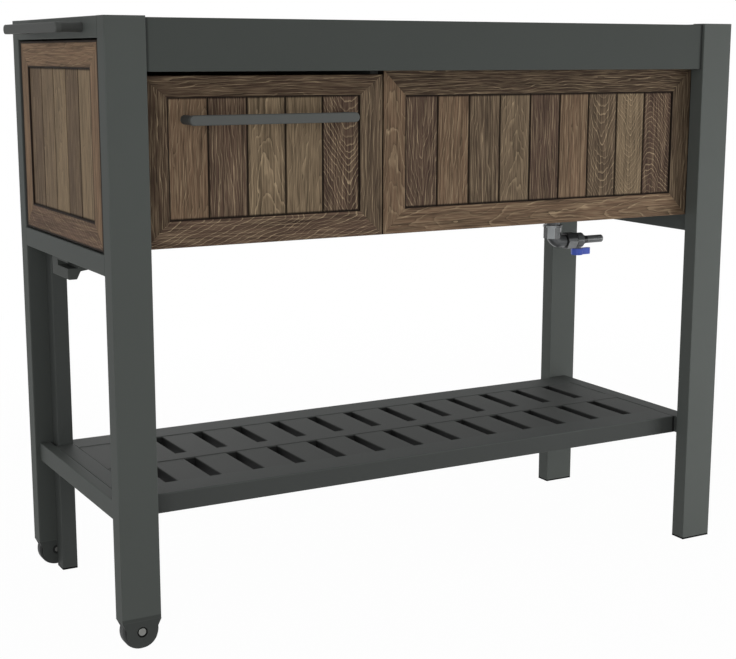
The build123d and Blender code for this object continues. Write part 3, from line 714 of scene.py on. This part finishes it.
@dataclass(frozen=True)
class BarOak(LimedOak):
    """The four mitred bars round a panel, in the order left or front, right or back, lower, upper."""

    middle: Span = (0.0, 0.0)
    half: Span = (100.0, 100.0)
    bar: float = 40.0
    top_bar: float = 40.0
    groove: float = 2.2
    groove_core: float = 1 / 3
    rim: float = 0.1
    side_rim: float = 0.1
    grime_and_shade: float = 0.96

    def lay(self, spot: Spot) -> tuple[Term, Term, Term, Term]:
        """Says where on which bar a point lies.

        Args:
            spot: The point in millimetres.

        Returns:
            The bar's number, the places along and across, and the grime and painted shade.
        """
        sideways = spot[self.side.value] - self.middle[0]
        upwards = spot[2] - self.middle[1]
        in_side = self.half[0] - abs(sideways)
        in_top = (self.half[1] - upwards) * (self.bar / self.top_bar)
        in_end = in_top.least(self.half[1] + upwards)
        stile = in_side < in_end
        index = stile.blend(2 + (upwards > 0.0), sideways > 0.0)
        along = stile.blend(sideways, upwards)
        across = stile.blend(in_end, in_side) - self.bar / 2
        core = self.groove * self.groove_core
        # grime and painted shade along the inner rebate, the outer rim and the side rim
        inner = in_side.least(in_end).rise(self.bar - self.groove, self.bar - core)
        outer = 1 - in_end.rise(self.rim / 2, self.rim)
        beside = 1 - in_side.rise(self.side_rim / 2, self.side_rim)
        return index, along, across, inner.most(outer).most(beside) * self.grime_and_shade


def dress(finish: Finish, *nodes: str) -> None:
    """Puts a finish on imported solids.

    Args:
        finish: The finish.
        nodes: The solids' names.
    """
    made = finish.material()
    for node in nodes:
        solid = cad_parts[node]
        if not solid.material_slots:
            solid.data.materials.append(made)
        for holder in solid.material_slots:
            holder.material = made
        LOG.info("%s wears %s", node, finish.name)


def add_piece(name: str, mesh: bpy.types.Mesh, body: Body) -> bpy.types.Object:
    """Adds a finished mesh to the table.

    Args:
        name: The piece's name.
        mesh: Its mesh, already in place.
        body: What it rides on.

    Returns:
        The piece.
    """
    piece = add_object(name, mesh)
    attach(piece, body.value)
    LOG.info("%s rides on %s", name, body.value)
    return piece


class Generator(Recipe):
    """A Geometry Nodes tree with named inputs, run once to give a plain mesh."""

    KINDS = {float: "NodeSocketFloat", int: "NodeSocketInt", tuple: "NodeSocketVector"}

    def __init__(self, name: str, inputs: Mapping[str, Any], finish: Finish) -> None:
        """Starts a tree.

        Args:
            name: The tree's name.
            inputs: The named inputs and their values.
            finish: What the result is made of.
        """
        super().__init__(bpy.data.node_groups.new(name, "GeometryNodeTree"))
        self.finish = finish
        ports = self.tree.interface
        ports.new_socket("Geometry", in_out="INPUT", socket_type="NodeSocketGeometry")
        self.values = {
            ports.new_socket(key, in_out="INPUT", socket_type=self.KINDS[type(value)]).identifier: value
            for key, value in inputs.items()
        }
        ports.new_socket("Geometry", in_out="OUTPUT", socket_type="NodeSocketGeometry")
        self.given = self.node("NodeGroupInput").outputs
        self.end = self.node("NodeGroupOutput")

    def __getitem__(self, name: str) -> Term:
        """One of the named inputs."""
        return Term(self, self.given[name])

    def run(self, shape: Term, seed_mesh: bpy.types.Mesh, smooth_below: float) -> bpy.types.Mesh:
        """Makes the instances real, gives them their material and runs the tree on a mesh.

        Args:
            shape: The tree's last geometry.
            seed_mesh: What the tree starts from.
            smooth_below: Edges with less of an angle than this look round, in degrees.

        Returns:
            The plain mesh.
        """
        real = self.term("GeometryNodeRealizeInstances", {0: shape})
        painted = {"Geometry": real, "Material": self.finish.material()}
        self.feed(self.end, {0: self.term("GeometryNodeSetMaterial", painted)})
        holder = add_object(self.tree.name, seed_mesh)
        modifier = holder.modifiers.new(self.tree.name, "NODES")
        modifier.node_group = self.tree
        for identifier, value in self.values.items():
            modifier[identifier] = value
        graph = bpy.context.evaluated_depsgraph_get()
        made = bpy.data.meshes.new_from_object(holder.evaluated_get(graph))
        holder.modifiers.remove(modifier)
        bpy.data.objects.remove(holder)
        made.shade_smooth()
        made.set_sharp_from_angle(angle=math.radians(smooth_below))
        return made


def below(deck: float, share: float, within: Band | None = None) -> Band:
    """The painted shade on what lies below a deck, whose height is in millimetres."""
    skin, fall = 0.6, 2.0
    return Band(DOWNWARDS, -deck, (skin, skin + fall), share, within=within)


def slat_coat() -> PowderCoat:
    """The coat of the shelf slats, with painted shade below the deck, in the slots."""
    _, high = box_mm("shelf_front_slats")
    return PowderCoat("slat_coat", "454745", bands=(below(high.z, share=0.14),))


@dataclass
class SlatRow:
    """A row of folded shelf slats with rolled edges, open below."""

    node: str
    count: int = 14
    roll: float = 1.2 * MM
    steps: int = 3
    wall: float = 1.2 * MM
    gap: float = 19.0 * MM
    open_below: float = -0.4
    smooth_below: float = 40.0
    finish: Finish = field(default_factory=slat_coat)

    def build(self) -> bpy.types.Mesh:
        """Folds one slat and repeats it along the shelf.

        Returns:
            The row's mesh.
        """
        low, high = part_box(self.node)
        width = (high.x - low.x - (self.count - 1) * self.gap) / self.count
        sizes = {
            "Count": self.count,
            "Pitch": width + self.gap,
            "Width": width,
            "Tall": high.z - low.z,
            "Run": high.y - low.y,
            "Roll": self.roll,
            "Wall": self.wall,
            "Start": (low.x + width / 2, low.y, (low.z + high.z) / 2),
        }
        tree = Generator("slat_row", sizes, self.finish)
        outline = {"Width": tree["Width"], "Height": tree["Tall"]}
        quad = tree.term("GeometryNodeCurvePrimitiveQuadrilateral", outline, {"mode": "RECTANGLE"})
        fillet = {"Curve": quad, "Count": self.steps, "Radius": tree["Roll"], "Limit Radius": True}
        profile = tree.term("GeometryNodeFilletCurve", fillet, {"mode": "POLY"})
        far = tree.vector(0.0, tree["Run"], 0.0)
        path = tree.term("GeometryNodeCurvePrimitiveLine", {"End": far}, {"mode": "POINTS"})
        sleeve = tree.term("GeometryNodeCurveToMesh", {"Curve": path, "Profile Curve": profile})
        downward = tree.split(tree.term("GeometryNodeInputNormal"))[2] < self.open_below
        cut = {"Geometry": sleeve, "Selection": downward}
        skin = tree.term("GeometryNodeDeleteGeometry", cut, {"domain": "FACE"})
        inward = {"Mesh": skin, "Offset Scale": tree["Wall"] * -1.0, "Individual": False}
        inner = tree.term("GeometryNodeExtrudeMesh", inward, {"mode": "FACES"})
        turned = tree.term("GeometryNodeFlipFaces", {"Mesh": inner})
        both = tree.node("GeometryNodeJoinGeometry")
        for half in (skin, turned):
            tree.feed(both, {0: half})
        slat = tree.term("GeometryNodeMergeByDistance", {"Geometry": Term(tree, both.outputs[0])})
        spacing = tree.vector(tree["Pitch"], 0.0, 0.0)
        line = {"Count": tree["Count"], "Start Location": tree["Start"], "Offset": spacing}
        places = tree.term("GeometryNodeMeshLine", line, {"mode": "OFFSET"})
        row = tree.term("GeometryNodeInstanceOnPoints", {"Points": places, "Instance": slat})
        return tree.run(row, bpy.data.meshes.new(self.node), self.smooth_below)

    def place(self) -> None:
        """Builds the row in place of the plain solids."""
        piece = add_piece(f"rolled_{self.node}", self.build(), Body.TABLE)
        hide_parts(self.node)


@dataclass
class ScrewSet:
    """Button-head screws on one body, each with the way that it faces."""

    name: str
    body: Body
    places: list[tuple[Point, Point]]
    radius: float = 3.6 * MM
    rim: float = 0.5 * MM
    dome: float = 0.8 * MM
    socket: float = 0.9 * MM
    sides: int = 24
    shoulder: float = 0.62
    mouth: float = 0.55
    taper: float = 0.96
    smooth_below: float = 30.0
    finish: Finish = field(default_factory=lambda: PlatedSteel("screw_steel", "8f908c"))

    def build(self) -> bpy.types.Mesh:
        """Turns one head and sets it on every place.

        Returns:
            The screws' mesh.
        """
        sizes = {"Radius": self.radius, "Rim": self.rim, "Dome": self.dome, "Socket": self.socket}
        tree = Generator(self.name, sizes, self.finish)
        disc = {"Vertices": self.sides, "Radius": tree["Radius"], "Depth": tree["Rim"] * 2.0}
        head = tree.node("GeometryNodeMeshCylinder", disc, {"fill_type": "NGON"}).outputs
        shape, top = Term(tree, head["Mesh"]), Term(tree, head["Top"])
        rings = (
            (tree["Dome"], self.shoulder),
            (0.0, self.mouth),
            (tree["Socket"] * -1.0, self.taper),
        )
        for lift, share in rings:
            grow = {"Mesh": shape, "Selection": top, "Individual": False, "Offset Scale": lift}
            grown = tree.node("GeometryNodeExtrudeMesh", grow, {"mode": "FACES"}).outputs
            top = Term(tree, grown["Top"])
            scale = {"Geometry": Term(tree, grown["Mesh"]), "Selection": top, "Scale": share}
            shape = tree.term("GeometryNodeScaleElements", scale, {"domain": "FACE"})
        kind = {"data_type": "FLOAT_VECTOR"}
        way = tree.term("GeometryNodeInputNamedAttribute", {"Name": "facing"}, kind)
        turn = tree.term("FunctionNodeAlignRotationToVector", {"Vector": way}, {"axis": "Z"})
        spread = {"Points": tree["Geometry"], "Instance": shape, "Rotation": turn}
        screws = tree.term("GeometryNodeInstanceOnPoints", spread)
        seeds = bpy.data.meshes.new(self.name)
        seeds.from_pydata([spot for spot, _ in self.places], [], [])
        ways = seeds.attributes.new("facing", "FLOAT_VECTOR", "POINT")
        for number, (_, direction) in enumerate(self.places):
            ways.data[number].vector = direction
        return tree.run(screws, seeds, self.smooth_below)

    def place(self) -> None:
        """Builds the screws on their body."""
        add_piece(self.name, self.build(), self.body)


@dataclass
class TubeFrame:
    """Legs, posts, rails, aprons and handles in charcoal powder coat.

    The coats are listed by their colour codes. Some fronts get painted shade from their top down or, on
    the front wheel leg, from the line above its fork. The sizes are millimetres.
    """

    aprons: Names = ("front_apron", "rear_apron", "cooler_lid")
    coats: tuple[tuple[str, Names], ...] = (
        ("4d514e", ("left_top_rail", "right_top_rail", "left_bottom_rail", "right_bottom_rail")),
        ("4d514e", ("shelf_outer_rail",)),
        # painted light: the right legs wear a paler coat than the left legs
        ("535754", ("front_right_leg", "rear_right_leg")),
        # painted shade: the posts wear a darker coat
        ("3d403e", ("front_post", "rear_post")),
        ("3f4340", aprons),
        ("474a48", ("shelf_left_rail", "shelf_right_rail")),
    )
    shaded_fronts: tuple[tuple[str, str, float], ...] = (
        # painted shade on these fronts below a line: under the fork's shoulder, on the rear left leg, on
        # the shelf rails
        ("front_left_leg", "4d514e", 0.57),
        ("rear_left_leg", "4d514e", 0.68),
        ("shelf_front_rail", "484b49", 0.74),
        ("shelf_back_rail", "484b49", 0.16),
    )
    front_fade: Span = (-1.1, -0.9)
    fork_line: float = 52.5
    apron_fade: Span = (-6.0, -3.0)
    apron_shade: float = 0.45
    seam: float = 3.5
    seam_fade: Span = (2.4, 1.6)
    seam_shade: float = 0.2
    rim_fade: Span = (-8.0, -4.0)
    rim_shade: float = 0.6
    # painted shade: the pull handle's darker coat, and the darker posts behind both bars
    handles: tuple[tuple[str, int, str], ...] = (
        ("drawer_handle", 1, "565856"),
        ("pull_handle", 0, "4b4d4b"),
    )
    handle_bar: float = 8.0
    handle_fade: Span = (-0.5, 1.0)
    handle_shade: float = 0.72

    def joints(self, node: str) -> Bands:
        """The painted shade where a tube meets its neighbours, and along the shelf's right rail edge.

        Args:
            node: The tube's name.

        Returns:
            Their bands.
        """
        low, high = box_mm(node)
        if node in self.aprons:
            # painted shade at the apron's ends, in the gaps by the legs
            middle, half = (low.x + high.x) / 2, (high.x - low.x) / 2
            return (Band(X_WAY, half, self.apron_fade, self.apron_shade, middle),)
        if node == "shelf_front_rail":
            # painted shade in the gap by the end of the shelf rail
            return (Band(X_WAY, 0.0, self.seam_fade, self.seam_shade, high.x - self.seam),)
        if node == "shelf_right_rail":
            # painted shade along the right rail's outer edge, by the leg
            return (Band(X_WAY, high.x, self.rim_fade, self.rim_shade),)
        return ()

    def coat(self, node: str, code: str, *shades: Band) -> None:
        """Coats a tube, with painted highlights on its edges and painted shade where it meets others.

        Args:
            node: The tube's name.
            code: The coat's colour code.
            shades: Its other bands.
        """
        low, high = box_mm(node)
        box = (tuple(low), tuple(high))
        dress(PowderCoat(f"{node}_coat", code, bands=shades + self.joints(node), box=box), node)

    def dress(self) -> None:
        """Coats every tube, the handles and the opener."""
        for code, nodes in self.coats:
            for node in nodes:
                self.coat(node, code)
        for node, code, share in self.shaded_fronts:
            low, high = box_mm(node)
            front = Band(FRONTWARDS, -low.y, self.front_fade, 1.0)
            deck = self.fork_line if node == "front_left_leg" else high.z
            self.coat(node, code, below(deck, share, front))
        for node, axis, code in self.handles:
            low, _ = box_mm(node)
            # painted shade on the posts behind the bar
            posts = Band(WAYS[axis], low[axis] + self.handle_bar, self.handle_fade, self.handle_shade)
            dress(PowderCoat(f"{node}_coat", code, bands=(posts,)), node)
        dress(PowderCoat("opener_coat", "3f423f"), "bottle_opener")
        dress(slat_coat(), "shelf_centre_rail", "shelf_front_slats", "shelf_back_slats")


@dataclass
class Shelf:
    """The two rows of slats of the lower shelf."""

    rows: tuple[SlatRow, ...] = (SlatRow("shelf_front_slats"), SlatRow("shelf_back_slats"))

    def build(self) -> None:
        """Builds both rows."""
        for row in self.rows:
            row.place()


@dataclass
class Panel:
    """A framed panel: its nodes share a name, its boards and bars have their own planks."""

    name: str
    side: Side
    boards: Planks
    bars: Planks
    seed: float
    seed_step: float = 50.0
    top_bar: float = 40.0
    bar: float = 40.0
    bar_ring: float = 6.2
    # lift above one is painted light on the panel's timber
    lift: float = 1.0
    gaps: Mapping[str, float] = field(default_factory=dict)

    def dress(self) -> None:
        """Gives the bars and the boards their timber."""
        axis = self.side.value
        low, high = box_mm(f"{self.name}_frame")
        middle = ((low[axis] + high[axis]) / 2, (low.z + high.z) / 2)
        half = ((high[axis] - low[axis]) / 2, (high.z - low.z) / 2)
        looks = {"side": self.side, "lift": self.lift}
        sizes = {"middle": middle, "half": half, "bar": self.bar, "top_bar": self.top_bar, **self.gaps}
        bars = BarOak(f"{self.name}_bar_oak", self.bars, self.seed, ring=self.bar_ring, **looks, **sizes)
        dress(bars, f"{self.name}_frame")
        opening = 2 * (half[0] - self.bar)
        boards = BoardOak(
            f"{self.name}_board_oak",
            self.boards,
            self.seed + self.seed_step,
            start=middle[0] - opening / 2,
            pitch=opening / len(self.boards),
            level=middle[1] + (self.bar - self.top_bar) / 2,
            reach=half[1] - (self.bar + self.top_bar) / 2,
            **looks,
        )
        dress(boards, f"{self.name}_boards")


@dataclass
class Cabinet:
    """The timber outside of the cabinet and the dark boards inside it."""

    drawer: Planks = Plank.row("WARM WAVE, DARK STRAIGHT, PALE CREST, PALE WAVE, UMBER BOWL")
    front: Planks = Plank.row(
        "UMBER LONG_VEE, WARM WAVE, GREY STRAIGHT, SAND CREST, UMBER STRAIGHT_BACK,"
        "WARM STRAIGHT, GREY NOTCH, PALE VEE, UMBER DOME"
    )
    end: Planks = Plank.row("PALE STRAIGHT, GREY STRAIGHT_BACK, PALE CREST, SAND WAVE, GREY STRAIGHT")
    # painted shade: the drawer's left stile and upper bar take a shaded tone, beside the leg and under the
    # apron
    drawer_bars: Planks = Plank.row("DEEP STRAIGHT, GREY STRAIGHT_BACK, DARK SWEEP, DEEP STRAIGHT")
    # painted shade: the upper bar takes the darkest tone, under the apron
    front_bars: Planks = Plank.row("WARM CREST, GREY STRAIGHT_BACK, WARM EYE, BROWN STRAIGHT")
    end_bars: Planks = Plank.row("WARM STRAIGHT, WARM STRAIGHT_BACK, DARK SWEEP, WARM WAVE")
    drawer_top_bar: float = 31.0
    # painted light: the end panels' timber is made paler
    end_painted_light: float = 1.72
    # grime and painted shade in the end panels' grooves and along their rims
    groove: float = 4.0
    rim: float = 4.6
    side_rim: float = 9.5

    def panels(self) -> list[Panel]:
        """The five panels with their planks.

        Returns:
            The panels.
        """
        back = self.front + self.drawer + self.front[2:4]
        gaps = {"groove": self.groove, "rim": self.rim, "side_rim": self.side_rim}
        deep = {"lift": self.end_painted_light, "gaps": gaps}
        low_top = {"top_bar": self.drawer_top_bar}
        return [
            Panel("drawer_front", Side.FRONT, self.drawer, self.drawer_bars, seed=3.0, **low_top),
            Panel("front_panel", Side.FRONT, self.front, self.front_bars, seed=11.0),
            Panel("left_panel", Side.END, self.end, self.end_bars, seed=23.0, **deep),
            Panel("right_panel", Side.END, self.end[::-1], self.end_bars, seed=31.0, **deep),
            Panel("back_panel", Side.FRONT, back, self.front_bars, seed=41.0),
        ]

    def dress(self) -> None:
        """Gives the panels their timber and the inside its boards."""
        for panel in self.panels():
            panel.dress()
        dress(FacedBoard("faced_board"), "cabinet_floor", "divider", "drawer_box", "worktop")


@dataclass
class Slides:
    """Drawer slides in plated steel, with their screws on the drawer's runners."""

    screw_steps: tuple[float, ...] = (0.12, 0.5, 0.88)
    web: float = 1.5 * MM

    def dress(self) -> None:
        """Plates the slides and adds the runner screws."""
        dress(PlatedSteel("drawn_steel", layers=drawn(1)), "slide_channels", "slide_runners")
        low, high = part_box("slide_runners")
        box_low, box_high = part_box("drawer_box")
        middle = (low.z + high.z) / 2
        sides = ((box_low.x - self.web, LEFTWARDS), (box_high.x + self.web, X_WAY))
        places = [
            ((x, low.y + share * (high.y - low.y), middle), way)
            for share in self.screw_steps
            for x, way in sides
        ]
        ScrewSet("runner_screws", Body.DRAWER, places).place()


@dataclass
class Cooler:
    """White basin and lid core, dark jacket, black gasket and plated hinges."""

    hinge_offsets: tuple[float, ...] = (-165.0 * MM, 165.0 * MM)
    screw_offsets: tuple[float, ...] = (-20.0 * MM, 0.0, 20.0 * MM)
    flap_offsets: tuple[float, ...] = (-7.0 * MM, 7.0 * MM)
    leaf: float = 1.5 * MM
    inset: float = 8.0 * MM
    leaf_screw: float = 3.2 * MM
    flap_screw: tuple[float, ...] = (3.0 * MM, 0.2 * MM, 0.4 * MM, 0.5 * MM)

    def dress(self) -> None:
        """Finishes the cooler and adds the hinge screws."""
        white = MouldedPlastic("white_plastic", "dcdcd7", moulded(spark=0.5), rough=0.29)
        dress(white, "cooler_liner", "lid_core")
        dress(MouldedPlastic("jacket_plastic", "333434"), "cooler_jacket")
        dress(Rubber("gasket_strip"), "lid_gasket")
        dress(PlatedSteel("plated_steel"), "hinge_apron_leaves", "hinge_lid_leaves", "hinge_pins")
        self.screws()

    def screws(self) -> None:
        """Adds the screws of both hinge leaves."""
        leaf_low, leaf_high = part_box("hinge_apron_leaves")
        flap_low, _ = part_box("hinge_lid_leaves")
        lid_low, lid_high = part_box("cooler_lid")
        centre = (lid_low.x + lid_high.x) / 2
        upright = [
            ((centre + hinge + step, leaf_high.y - self.leaf, leaf_low.z + self.inset), FRONTWARDS)
            for hinge in self.hinge_offsets
            for step in self.screw_offsets
        ]
        under = [
            ((centre + hinge + step, flap_low.y + self.inset, flap_low.z), DOWNWARDS)
            for hinge in self.hinge_offsets
            for step in self.flap_offsets
        ]
        ScrewSet("hinge_leaf_screws", Body.TABLE, upright, self.leaf_screw).place()
        ScrewSet("hinge_flap_screws", Body.LID, under, *self.flap_screw).place()


@dataclass
class Drain:
    """Dark drain fittings with a blue lever. The sizes are millimetres."""

    codes: Pairs = (
        ("drain_bulkhead", "545657"),
        ("drain_elbow", "545657"),
        ("union_nut", "8a8c8d"),
        ("valve_body", "626465"),
    )
    facet: float = 15.2
    facet_fade: Span = (-0.5, -0.3)
    facet_share: float = 5.4
    gap_share: float = 0.12
    elbow_gap: Span = (-3.0, -1.5)
    nut_gap: Span = (9.6, 10.6)
    nut_top: Span = (3.0, 7.0)
    nut_share: float = 0.16
    valve_gap: Span = (2.0, 1.2)
    stub_gap: Span = (6.0, 5.2)
    stub: float = 21.5

    def joints(self, node: str) -> Bands:
        """Painted highlight on the elbow's facet, painted shade on the nut's top, beside it and behind the
        stub.

        Args:
            node: The fitting's name.

        Returns:
            Their bands.
        """
        nut_low, nut_high = box_mm("union_nut")
        middle, end = (nut_low + nut_high) / 2, nut_high.x
        low, high = box_mm("drain_elbow")
        slant = math.sqrt(HALF)
        face = self.facet - slant * (low.x + (high.y - low.y) / 2)
        bands = {
            "drain_elbow": (
                # painted highlight on the elbow's slanted facet
                Band((-slant, -slant, 0.0), face, self.facet_fade, self.facet_share),
                # painted shade in the gaps by the nut, the valve and the stub, and on the nut's top
                Band(X_WAY, nut_low.x, self.elbow_gap, self.gap_share),
            ),
            "union_nut": (
                Band(X_WAY, 0.0, self.nut_gap, self.gap_share, middle.x),
                Band(Z_WAY, middle.z, self.nut_top, self.nut_share),
            ),
            "valve_body": (
                Band(X_WAY, 0.0, self.valve_gap, self.gap_share, end),
                Band(X_WAY, 0.0, self.stub_gap, self.gap_share, end + self.stub),
            ),
        }
        return bands.get(node, ())

    def dress(self) -> None:
        """Finishes the fittings and the lever."""
        for node, code in self.codes:
            dress(MouldedPlastic(f"{node}_plastic", code, rough=0.21, bands=self.joints(node)), node)
        dress(MouldedPlastic("lever_blue", "5168d0", shine=0.3), "valve_lever")


@dataclass
class RollingGear:
    """Wheels, forks, axles and feet."""

    forks: Pairs = (("front_fork", "front_axle"), ("rear_fork", "rear_axle"))
    inside_fade: Span = (-0.6, -1.4)
    inside: float = 0.3
    hub: float = 8.0
    hub_fade: Span = (0.2, -0.4)
    hub_shade: float = 0.08
    # painted light and shade: the front tyre is paler and the rear tyre darker, though both are one rubber
    tyres: Pairs = (("front_wheel", "464847"), ("rear_wheel", "2c2e2d"))

    def dress(self) -> None:
        """Finishes the wheel ends and the feet."""
        for fork, axle in self.forks:
            low, high = box_mm(fork)
            middle, half = (low.y + high.y) / 2, (high.y - low.y) / 2
            centre = sum(box_mm(axle), Vector()) / 2
            bands = (
                # painted shade inside the fork and in the recess round the axle
                Band(Y_WAY, half, self.inside_fade, self.inside, middle),
                Band(Y_WAY, self.hub, self.hub_fade, self.hub_shade, hub=(centre.x, centre.z)),
            )
            dress(MouldedPlastic(f"{fork}_plastic", "373a38", rough=0.51, shine=0.25, bands=bands), fork)
            dress(PlatedSteel("axle_steel", "7e7f7c", drawn(1)), axle)
        dress(MouldedPlastic("foot_plastic", "121312", rough=0.61, shine=0.05), "foot_caps")
        for node, code in self.tyres:
            dress(MouldedPlastic(f"{node}_plastic", code, rough=0.49, shine=0.25), node)


@dataclass
class Studio:
    """A pale floor, soft lamps and the photograph's camera.

    Each lamp has a name, a place, a target, a size in metres and a power in watts.
    """

    ambient: float = 0.40
    zenith: float = 0.34
    bounce: float = 0.88
    floor_size: float = 14.0
    floor_rough: float = 0.9
    floor_glow: float = 0.98
    glow_fade: Span = (900.0, 2600.0)
    eye: Point = (-1.19724, -2.13917, 0.86165)
    azimuth: float = -29.055
    elevation: float = 10.734
    roll: float = 0.071
    lens: float = 70.923
    sensor: float = 36.0
    lamps: tuple[tuple[str, Point, Point, float, float], ...] = (
        ("key_lamp", (1.6, -1.6, 0.2), (0.5, -0.2, 0.1), 0.9, 18.0),
        ("far_lamp", (-3.4, -4.8, 1.4), (0.0, 0.0, 0.4), 2.5, 80.0),
        ("back_lamp", (0.2, 2.2, 0.25), (0.0, 0.2, 0.45), 0.9, 8.0),
    )

    def sky(self) -> None:
        """Even light from all round, which shows as white."""
        world = bpy.data.worlds.new("studio")
        world.use_nodes = True
        bpy.context.scene.world = world
        recipe = Recipe(world.node_tree)
        way = recipe.term("ShaderNodeTexCoord", output="Generated")
        dome = recipe.split(way)[2].rise(0.0, 1.0).blend(self.ambient, self.zenith)
        strength = recipe.seen().blend(dome, 1.0)
        recipe.feed(world.node_tree.nodes["Background"], {"Color": WHITE, "Strength": strength})

    def floor(self) -> None:
        """A white floor that keeps a soft shadow."""
        half = self.floor_size / 2
        mesh = bpy.data.meshes.new("studio_floor")
        corners = [(-half, -half, 0.0), (half, -half, 0.0), (half, half, 0.0), (-half, half, 0.0)]
        mesh.from_pydata(corners, [], [(0, 1, 2, 3)])
        floor = add_object("studio_floor", mesh)
        made = bpy.data.materials.new("studio_floor")
        made.use_nodes = True
        recipe = Recipe(made.node_tree)
        surface = made.node_tree.nodes["Principled BSDF"]
        pale = (self.bounce, self.bounce, self.bounce, 1.0)
        recipe.feed(surface, {"Base Color": pale, "Roughness": self.floor_rough})
        glow = recipe.term("ShaderNodeEmission", {"Color": WHITE, "Strength": 1.0})
        x, y, _ = recipe.place()
        away = (x * x + y * y).root().rise(*self.glow_fade)
        share = recipe.seen() * away.blend(self.floor_glow, 1.0)
        shaders = {0: share, 1: Term(recipe, surface.outputs[0]), 2: glow}
        mixed = recipe.term("ShaderNodeMixShader", shaders)
        recipe.feed(made.node_tree.nodes["Material Output"], {"Surface": mixed})
        mesh.materials.append(made)

    def light(self) -> None:
        """Sets up the soft lamps."""
        for name, spot, target, size, power in self.lamps:
            lamp = bpy.data.lights.new(name, "AREA")
            lamp.size = size
            lamp.energy = power
            holder = add_object(name, lamp)
            holder.location = spot
            aim = Vector(target) - Vector(spot)
            holder.rotation_euler = aim.to_track_quat("-Z", "Y").to_euler()
            holder.visible_camera = False

    def camera(self) -> None:
        """Puts the camera where the photograph was taken."""
        turns = ((self.azimuth, "Z"), (RIGHT_ANGLE - self.elevation, "X"), (self.roll, "Z"))
        pose = Matrix.Translation(self.eye)
        for angle, axis in turns:
            pose = pose @ Matrix.Rotation(math.radians(angle), 4, axis)
        data = bpy.data.cameras.new("photo_camera")
        data.sensor_width = self.sensor
        data.lens = self.lens
        holder = add_object("photo_camera", data)
        holder.matrix_world = pose
        bpy.context.scene.camera = holder

    def build(self) -> None:
        """Sets up the whole studio."""
        bpy.context.scene.view_settings.view_transform = "Standard"
        self.camera()
        self.sky()
        self.floor()
        self.light()


def main() -> None:
    """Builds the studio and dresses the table."""
    logging.basicConfig(level=logging.INFO, format="%(name)s: %(message)s")
    Studio().build()
    TubeFrame().dress()
    Shelf().build()
    Cabinet().dress()
    Slides().dress()
    Cooler().dress()
    Drain().dress()
    RollingGear().dress()


if __name__ == "__main__":
    main()
